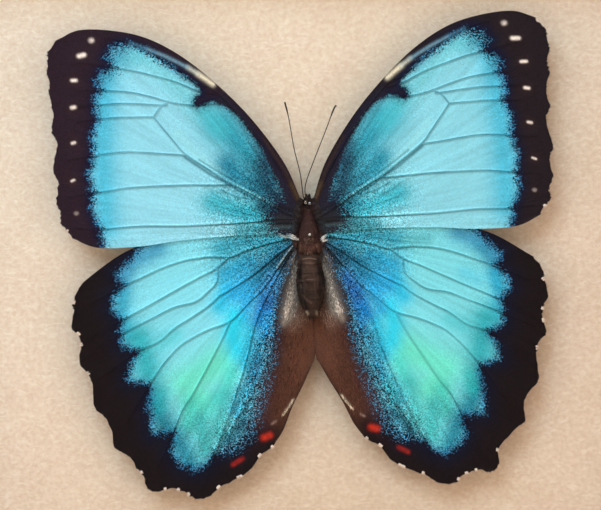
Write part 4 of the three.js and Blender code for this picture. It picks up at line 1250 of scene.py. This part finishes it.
def abdomen_relief(y, angle):
    """Each ring swells to its hind edge and steps down onto the next, and the sides are creased."""
    ring = (abdomen_start - y) / abdomen_length * abdomen_rings
    part = ring - np.floor(ring)
    step = 0.17 * part ** 2 - 0.12 * bell(part - 0.02, 0.06)
    crease = -0.22 * bell(np.abs(np.sin(angle)) - 0.28, 0.12)
    wrinkle = 0.14 * soft_noise(angle * 2.2, y * 0.9, 51) + 0.07 * soft_noise(angle * 5, y * 2.6, 52)
    taper = smooth_step(-y, 4.3, 5.2) * (1 - smooth_step(-y, 17.5, 19))
    return (step + crease + wrinkle) * taper


thorax = TurnedForm(thorax_profile, 0.95, (0, 0, -0.6), thorax_relief)
abdomen = TurnedForm(abdomen_profile, 0.85, (-0.2, 0, 0.3), abdomen_relief)
head = TurnedForm(head_profile, 0.95, (0.15, 0, -0.3))


def add_form(name, bodies, material, tint, node):
    """A piece of one or more bodies in the specimen's axes, tinted by a rule on their points."""
    points, faces = join(bodies)
    piece = add_piece(name, to_frame(points), faces, material, [node])
    lay_values(piece, "tint", tint(points))
    return piece


def thorax_tint(points):
    """Maroon brown, paler and patchy behind, with a few fine pale lines."""
    y = points[:, 1]
    base = np.broadcast_to(linear(64, 42, 40), points.shape)
    zigzag = [(-1.2, -0.1), (-0.6, -0.8), (-0.1, -0.3), (0.4, -0.9), (1.0, -0.1)]
    base = lay_strokes(base, points[:, 0], y, [
        ([(-2, -2.2), (2, -2.2)], 1.4, (92, 62, 53), 0.8),
        ([(-2, -3.8), (2, -3.8)], 0.3, (22, 14, 14), 0.9),
        (zigzag, 0.09, (156, 124, 106), 0.75),
        ([(-1.3, -3.5), (0, -3.3), (1.6, -3.5)], 0.09, (150, 120, 102), 0.7),
        ([(1.5, -1.6), (2, -2.4), (1.9, -3.2)], 0.1, (150, 120, 106), 0.6),
        ([(-2.4, 0.2), (-2.1, -1.2), (-2.3, -2.8)], 0.16, (126, 96, 84), 0.6)])
    patches = sum(share * soft_noise(points[:, 0] * fineness, y * fineness, 43 + fineness)
                  for share, fineness in ((0.8, 2), (0.8, 4.5), (0.9, 8)))
    return base * np.clip(1 + 0.62 * patches * smooth_step(-y, -1.5, 0.5), 0.2, 3)[:, None]


def abdomen_tint(points):
    """Dark grey brown, blacker in the seams and in blotches along the sides, with pale lines and patches
    across that are painted highlights.
    """
    x, y = points[:, 0] + 0.2, points[:, 1]
    base = np.broadcast_to(linear(57, 41, 36), points.shape)
    patches = soft_noise(x * 0.9, y * 0.8, 45) + 0.5 * soft_noise(x * 2.6, y * 2.6, 46)
    base = base * (1 + 0.4 * patches)[:, None]
    ring = (abdomen_start - y) / abdomen_length * abdomen_rings
    part = ring - np.floor(ring)
    uneven = 0.25 + 0.4 * soft_noise(x * 1.2, ring * 0.9, 47)
    seam = (bell(np.minimum(part, 1 - part), 0.06) * uneven)[:, None]
    base = base * (1 - seam) + linear(24, 17, 16) * seam
    # The paler strokes are painted highlights, but for the pale tufts at the tip; the dark ones are the
    # blotches along the sides
    return lay_strokes(base, x, y, [
        ([(-1.6, -5.0), (0, -4.8), (1.7, -5.2)], 0.1, (146, 122, 106), 0.65),
        ([(-0.9, -5.9), (0.9, -6.2)], 0.28, (104, 80, 66), 0.6),
        ([(-2.3, -11), (-2.2, -11.8)], 0.16, (140, 122, 104), 0.7),
        ([(-2, -13.4), (-1.7, -14.2)], 0.18, (132, 112, 98), 0.6),
        ([(-0.6, -7), (1.2, -7.4)], 0.3, (86, 66, 56), 0.45),
        ([(-1, -9.9), (0.6, -9.9)], 0.14, (110, 88, 80), 0.6),
        ([(0.9, -8), (1, -13)], 0.16, (88, 68, 62), 0.5),
        ([(-2, -5.4), (-2.3, -9), (-1.9, -14), (-1.2, -17)], 0.28, (18, 12, 12), 0.85),
        ([(1.9, -5), (2.3, -9), (2.1, -14)], 0.3, (20, 14, 14), 0.75),
        ([(-1.2, -14.6), (-0.2, -15.4)], 0.3, (104, 80, 72), 0.5),
        ([(-2.5, -7.6), (-2.6, -9.6)], 0.5, (14, 10, 10), 0.9),
        ([(2.7, -8), (3.2, -11.5)], 0.5, (14, 10, 10), 0.9),
        ([(-2.9, -11), (-2.4, -15)], 0.4, (26, 20, 18), 0.8),
        ([(-1.3, -17.6), (-1.1, -18)], 0.35, (170, 152, 134), 0.7),
        ([(1.1, -17.8), (1.2, -18.2)], 0.35, (170, 152, 134), 0.6)])


def plain_tint(*colour):
    """A tint rule that gives one screen colour everywhere."""
    return lambda points: np.broadcast_to(linear(*colour), points.shape)


add_form("thorax_shell", [thorax.body(along=90, around=72)], shell_material, thorax_tint, "thorax")
add_form("abdomen_shell", [abdomen.body(along=220, around=96)], shell_material, abdomen_tint, "abdomen")


def ball(centre, radii, along=20, around=28):
    """An ellipsoid about a centre, its poles to front and back."""
    turn = np.linspace(0, np.pi, along + 2)[1:-1, None, None]
    angle = np.linspace(0, 2 * np.pi, around, endpoint=False)[None, :, None]
    sphere = (np.sin(turn) * np.cos(angle), -np.cos(turn), np.sin(turn) * np.sin(angle))
    ring = np.concatenate(np.broadcast_arrays(*sphere), -1)
    centre, radii = np.array(centre, float), np.array(radii, float)
    return close_rings(centre + ring * radii, centre - (0, radii[1], 0), centre + (0, radii[1], 0))


palps = [ball((0.25 + side * 0.34, 9.9, -0.5), (0.34, 0.75, 0.31)) for side in (-1, 1)]
neck = ball((0.1, 7.35, -0.4), (0.74, 0.75, 0.62))
head_bodies = [head.body(along=40, around=48), neck, *palps]
add_form("head_shell", head_bodies, shell_material, plain_tint(34, 24, 23), "head")
eye_material, tree, shader = make_material("compound_eye")
facets = add_node(tree, "TexVoronoi", {"Vector": object_place(tree), "Scale": 14000.0})
facet_edge = ramp(tree, facets.outputs["Distance"], 0.1, 0.6)
eye_colour = blend_colours(tree, facet_edge, shade(30, 22, 20), shade(8, 6, 6))
feed(tree, shader, {"Base Color": eye_colour, "Roughness": 0.12, "Specular IOR Level": 1.0,
                    "Coat Weight": 1.0, "Coat Roughness": 0.1, "Coat IOR": 2.0})
for side_name, side in two_sides:
    points, faces = ball((0.15 + side * 0.5, 8.4 - 0.15 * side, 0.3), (0.6, 0.62, 0.6))
    add_piece(f"eye_{side_name}", to_frame(points), faces, eye_material, ["head"])

# Wing hinges
# Dark ridged membrane and small plates join each forewing's root to the side of the thorax and the neck.
# Each side is one folded sheet.
hinge_inner = [(0.45, 8.9), (0.55, 8.0), (0.75, 6.4), (1.2, 4.2), (1.8, 2.2), (2.2, 0.2), (2.3, -2.6)]
hinge_outer = [(1.6, 9.7), (2.3, 9.1), (3.0, 7.4), (3.7, 5.2), (4, 3), (4.2, 1), (3.9, -1.6)]
hinge_cells = (36, 96)
hinge_step = 4
hinge_thickness = 0.24
for side_name, side in two_sides:
    scale = wing_scale[side]
    u = np.linspace(0, 1, hinge_cells[0] + 1)[:, None]
    v = np.linspace(0, 1, hinge_cells[1] + 1)[None, :]
    inner_line, outer_line = even_line(hinge_inner, v[0])[None], even_line(hinge_outer, v[0])[None]
    flat = inner_line * (1 - u[..., None]) + outer_line * u[..., None]
    x, y = flat[..., 0], flat[..., 1]
    ridges = 0.16 * np.cos(2 * np.pi * (v * 9 + 0.6 * soft_noise(u * 2, v * 5, 81 + side)))
    crumple = 0.09 * soft_noise(u * 5, v * 16, 83 + side) + 0.05 * soft_noise(u * 12, v * 44, 84 + side)
    height = -0.1 + 1.15 * smooth_step(u, 0, 0.55) - 0.16 * smooth_step(u, 0.75, 1)
    height = height + (ridges + crumple) * np.sin(np.pi * u) ** 0.7
    top = np.stack([side * scale * x, scale * y, height], -1)
    under = (top - (0, 0, hinge_thickness))[::hinge_step, ::hinge_step]
    points, faces = closed_sheet(top, under, hinge_step)
    hinge = add_piece(f"wing_hinge_{side_name}", to_frame(points), faces, shell_material,
                      [f"forewing_{side_name}"])
    place_x, place_y = np.abs(points[:, 0]) / scale, points[:, 1] / scale
    tint = np.broadcast_to(linear(40, 34, 36), points.shape)
    tint = lay_strokes(tint, place_x, place_y, [
        ([(0.3, 10), (1.2, 4), (2.2, 0)], 0.7, (50, 30, 28), 0.9),
        ([(2.4, 9.2), (3.6, 5)], 0.8, (40, 32, 34), 0.6),
        ([(2.3, 0.2), (2.9, -2.4)], 0.9, (92, 64, 58), 0.85),
        ([(3.6, 3.4), (4, 1.4)], 0.7, (40, 50, 58), 0.6),
    ])
    lay_values(hinge, "tint", tint * (0.9 + 0.35 * soft_noise(place_x * 2.2, place_y * 2.6, 85)[:, None]))

# Antennae and legs
# Threads of chitin: the antennae are ringed and end in a slight club.
# The four walking legs grow from the thorax and fold back under the body.
antenna_routes = {
    "left": [(-0.85, 10.1, 1.0), (-1.3, 15.4, 1.5), (-2.44, 21.4, 1.9), (-3.33, 28.6, 2.1),
             (-4.08, 32.6, 2.2)],
    "right": [(-0.35, 10.3, 1.0), (-0.08, 13.1, 1.4), (2.04, 18.2, 1.7), (5.08, 24.9, 2.0),
              (7.4, 30.2, 2.1), (8.12, 31.2, 2.1)],
}
antenna_bases = {"left": (-0.3, 9.5, 0.1), "right": (0.1, 9.6, 0.1)}
spine_count = 60
leg_routes = {
    "mid": [(1.5, 1, -3.3), (4.2, 3.2, -3.5), (5.4, -0.4, -4.6), (6.4, -4.2, -5.3)],
    "hind": [(1.5, -1.8, -3.4), (4.6, -2.4, -3.5), (5.2, -7.4, -4.6), (5.8, -11.5, -5.3)],
}
limb_material = tinted_material("insect_limb", roughness=0.35, gloss=0.5)
for side_name, route in antenna_routes.items():
    share = np.linspace(0, 1, 260)
    line = even_line([antenna_bases[side_name], *route], share)
    radius = 0.115 + 0.09 * smooth_step(share, 0.84, 0.95) + 0.012 * np.sin(share * 2 * np.pi * 60)
    add_form(f"antenna_{side_name}_ringed", [tube(line, radius, around=10)], limb_material,
             plain_tint(34, 25, 22), f"antenna_{side_name}")
for pair, route in leg_routes.items():
    for side_name, side in two_sides:
        share = np.linspace(0, 1, 120)
        line = even_line([(side * x, y, z) for x, y, z in route], share)
        joints = 0.07 * bell(share[:, None] - (0.3, 0.66), 0.03).sum(1)
        toes = 0.03 * np.sin(share * 2 * np.pi * 22) * smooth_step(share, 0.68, 0.72)
        radius = 0.34 - 0.19 * share + joints + toes
        spines = line[draw.integers(36, 118, spine_count)]
        aims = [scatter(spine_count), -0.8 + 0.2 * scatter(spine_count), 0.8 * scatter(spine_count)]
        lengths = 0.45 + 0.1 * scatter(spine_count)
        widths, bends = np.full(spine_count, 0.06), np.zeros((spine_count, 3))
        hairs = hair_bodies(spines, np.stack(aims, 1), lengths, widths, bends)
        add_form(f"leg_{pair}_{side_name}_jointed", [tube(line, radius, around=12), hairs], limb_material,
                 plain_tint(44, 33, 27), f"leg_{pair}_{side_name}")

# Body hair
# Short hairs stand all over the thorax, thin out over the abdomen, and lie pale along the inner hindwings.
# White tufts mark the wing bases. Each group is one mesh on the solid that it grows from.


def form_coat(form, count, low, high, length, width, lift):
    """Hairs rooted on a turned form, but for its underside, between two shares of its length; combed back."""
    share = draw.uniform(low, high, count)
    angle = draw.uniform(-0.6, np.pi + 0.6, count)
    roots = form.place(share, angle)
    out = np.stack([np.cos(angle), 0 * angle, np.sin(angle)], 1)
    aims = lift * out + np.array([0, -1, 0]) + 0.35 * scatter(count, 3)
    lengths = length * (1 + 0.4 * scatter(count))
    bends = np.stack([0 * angle, -0.3 * lengths, -0.12 * lengths], 1)
    return roots, hair_bodies(roots - 0.05 * out, aims, lengths, width * (1 + 0.3 * scatter(count)), bends)


def add_coat(name, hairs, tint, node):
    """Hairs in the specimen's axes, with one tint for each."""
    points, faces = hairs
    piece = add_piece(name, to_frame(points), faces, hair_material, [node])
    lay_values(piece, "tint", per_hair(tint))


roots, hairs = form_coat(thorax, count=5200, low=0.04, high=0.97, length=0.75, width=0.055, lift=0.5)
tint = thorax_tint(roots) * (1.25 + 0.9 * scatter(len(roots), 1))
add_coat("thorax_hair", hairs, tint, "thorax")
roots, hairs = form_coat(abdomen, count=2600, low=0.06, high=0.97, length=0.45, width=0.045, lift=0.2)
tint = abdomen_tint(roots) * (1.2 + 0.7 * scatter(len(roots), 1))
add_coat("abdomen_hair", hairs, tint, "abdomen")
roots, hairs = form_coat(head, count=500, low=0.55, high=0.95, length=0.5, width=0.05, lift=0.8)
tint = linear(40, 28, 26) * (1.2 + 0.6 * scatter(len(roots), 1))
add_coat("head_hair", hairs, tint, "head")

# Each tuft is where it is rooted, where it points to, how many hairs it has and how far they spread
tufts = {
    "left": [((-3.4, 0.2), (-5.3, 1.2), 34, 0.5), ((-2.7, -0.3), (-4.2, 0.3), 16, 0.25),
             ((-5.2, 0.4), (-7.4, 1.2), 16, 0.3)],
    "right": [((2.9, -0.5), (4.5, 0.9), 26, 0.32), ((3.2, -1.0), (4.9, -0.5), 13, 0.2)],
}
for side_name, side in two_sides:
    gathered = []
    for start, end, count, spread in tufts[side_name]:
        root = np.array([*start, 1.5]) + spread * scatter(count, 3) * (1, 1, 0.4)
        aim = np.array([*end, 1.7]) - (*start, 1.5)
        lengths = np.linalg.norm(aim) * (0.75 + 0.25 * scatter(count))
        aims = aim + 0.5 * spread * scatter(count, 3) * (1, 1, 0.5)
        gathered.append(hair_bodies(root, aims, lengths, 0.075 + 0.025 * scatter(count),
                                    0.2 * scatter(count, 3)))
    tuft = join(gathered)
    tint = linear(252, 252, 252) * (0.95 + 0.6 * scatter(len(tuft[0]) // hair_points, 1))
    add_coat(f"wing_base_tuft_{side_name}", tuft, tint, f"forewing_{side_name}")

# Strips of hair on the inner hindwing: a route, a half width, how many hairs, their length and colour
inner_strips = [
    ([(3.2, -7), (5.2, -14), (6.4, -18)], 0.7, 420, 0.7, (226, 212, 202)),
    ([(3.4, -4.5), (4, -12), (5.4, -18)], 1.2, 520, 0.8, (180, 168, 158)),
    ([(1.8, -17), (4.6, -21)], 1.2, 300, 0.7, (150, 120, 104)),
    ([(4, -22), (6, -32), (9.5, -41)], 3.0, 1500, 0.9, (96, 60, 48)),
    ([(5.8, -38.2), (8.3, -41.5)], 0.16, 110, 0.8, (226, 208, 186)),
]
for side_name, side in two_sides:
    scale = wing_scale[side]
    grid = wing_grids["hind", side]
    gathered, tint = [], []
    for route, half_width, count, length, colour in inner_strips:
        places = smooth_line(route, draw.uniform(0, 1, count)) + half_width * draw.normal(0, 0.6, (count, 2))
        edge_x, edge_y = np.array(hindwing["hind"]).T
        places = places[places[:, 0] > np.interp(-places[:, 1], -edge_y, edge_x) + 0.6]
        count = len(places)
        height = nearest_height(places[:, 0], places[:, 1], *(values[::3, ::3] for values in grid))
        roots = np.concatenate([places, height[:, None] + 0.1], 1) * (side * scale, scale, 1)
        aims = [side * (0.25 + 0.2 * scatter(count)), -1 + 0.1 * scatter(count), 0.1 + 0.06 * scatter(count)]
        lengths = length * (1 + 0.4 * scatter(count))
        bends = np.stack([0 * lengths, 0 * lengths, -0.1 * lengths], 1)
        gathered.append(hair_bodies(roots, np.stack(aims, 1), lengths, 0.085 + 0.03 * scatter(count), bends))
        tint.append(linear(*colour) * np.clip(1 + 0.75 * scatter(count, 1), 0.15, 2))
    add_coat(f"hindwing_{side_name}_inner_hair", join(gathered), np.concatenate(tint),
             f"hindwing_{side_name}")

# Pin
# A steel insect pin with a small round head, turned and polished.
# It is pushed through the thorax into the board, which hold it by friction.
# Heights are over the wing plane, and the tip ends short of the board's back
pin_radius = 0.3
pin_head_radius = 0.42
pin_head_height = 5
pin_short_of_back = 1.5
pin_tip = board_low[2] + pin_short_of_back - wing_plane


def lathe(profile, around, centre):
    """A profile of radius against height, turned about an upright axis, closed by a point at each end."""
    profile = np.array(profile, float)
    angle = np.linspace(0, 2 * np.pi, around, endpoint=False)[None]
    radius, height = profile[1:-1, 0][:, None], profile[1:-1, 1][:, None]
    around_x, around_y = centre[0] + radius * np.cos(angle), centre[1] + radius * np.sin(angle)
    rings = np.stack(np.broadcast_arrays(around_x, around_y, height), -1)
    return close_rings(rings, (*centre, profile[0, 1]), (*centre, profile[-1, 1]))


steel, tree, shader = make_material("polished_pin_steel")
pin_look = place_group(tree, mottle, {"Vector": object_place(tree), "Blotch Size": 1.5, "Grain Size": 0.1,
                                      "Low": shade(176, 173, 166), "High": shade(212, 210, 204)})
polish = calculate(tree, "MULTIPLY_ADD", pin_look["Grain"], 0.1, 0.16)
feed(tree, shader, {"Base Color": pin_look["Color"], "Roughness": polish, "Metallic": 1.0})
turn = np.linspace(-np.pi / 2 + 0.75, np.pi / 2, 14)
pin_head = [(pin_head_radius * np.cos(a), pin_head_height + pin_head_radius * np.sin(a)) for a in turn]
pin_shank = [(0, pin_tip), (0.1, pin_tip + 0.5), (pin_radius, pin_tip + 1.6),
             (pin_radius, pin_head_height - 0.5)]
points, faces = lathe([*pin_shank, *pin_head], around=28, centre=pin_place)
add_piece("pin_turned", to_frame(points), faces, steel, ["pin"])

# Back
# A hardboard panel closes the frame, held by eight zinc-plated tabs that are pressed into the rails.
# A sawtooth hanger of the same steel is riveted to it.
hardboard, tree, shader = make_material("pressed_hardboard")
place = object_place(tree)
fibre_look = place_group(tree, mottle, {
    "Vector": place, "Blotch Size": 18, "Grain Size": 0.6, "Grain Share": 0.65,
    "Low": shade(96, 66, 40), "High": shade(140, 102, 66)})
flecks = add_node(tree, "TexNoise", {"Vector": place, "Scale": 1900.0, "Detail": 2.0})
fleck_mask = ramp(tree, flecks.outputs["Fac"], 0.6, 0.7)
fleck_share = calculate(tree, "MULTIPLY", fleck_mask, 0.5)
flecked = blend_colours(tree, fleck_share, fibre_look["Color"], shade(62, 40, 24))
feed(tree, shader, {"Base Color": flecked, "Roughness": 0.72})
raise_bump(tree, shader, fibre_look["Grain"], 0.08, 0.6)
zinc, tree, shader = make_material("zinc_plated_steel")
place = object_place(tree)
spangle = add_node(tree, "TexVoronoi", {"Vector": place, "Scale": 700.0})
tarnish = place_group(tree, mottle, {"Vector": place, "Blotch Size": 5, "Grain Size": 0.2,
                                     "Low": shade(142, 142, 138), "High": shade(196, 196, 192)})
spangle_tone = add_node(tree, "SeparateColor", {0: spangle.outputs["Color"]}).outputs["Red"]
spangle_roughness = calculate(tree, "MULTIPLY_ADD", spangle_tone, 0.16, 0.26)
feed(tree, shader, {"Base Color": tarnish["Color"], "Roughness": spangle_roughness, "Metallic": 1.0})
raise_bump(tree, shader, tarnish["Grain"], 0.02, 0.5)
finish_nodes(["back_panel"], hardboard)
finish_nodes([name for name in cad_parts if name.startswith("retaining_tab")] + ["hanger"], zinc)
# The rivet's profile, from the top of its domed head to the end of its shank, as radius and depth
rivet_profile = [(0, 0), (0.6, 0.03), (1.2, 0.15), (1.7, 0.4), (2.05, 0.75), (2.2, 1.05), (2.2, 1.1),
                 (1, 1.12), (1, 5), (0, 5)]
for side_name, _ in two_sides:
    low, high = (np.array(corner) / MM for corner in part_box(f"hanger_rivet_{side_name}"))
    stretch = (high[2] - low[2]) / rivet_profile[-1][1]
    rivet = [(radius, low[2] + depth * stretch) for radius, depth in rivet_profile]
    points, faces = lathe(rivet, around=32, centre=(low[:2] + high[:2]) / 2)
    add_piece(f"hanger_rivet_{side_name}_domed", points, faces, zinc, [f"hanger_rivet_{side_name}"],
              seam_angle=50)
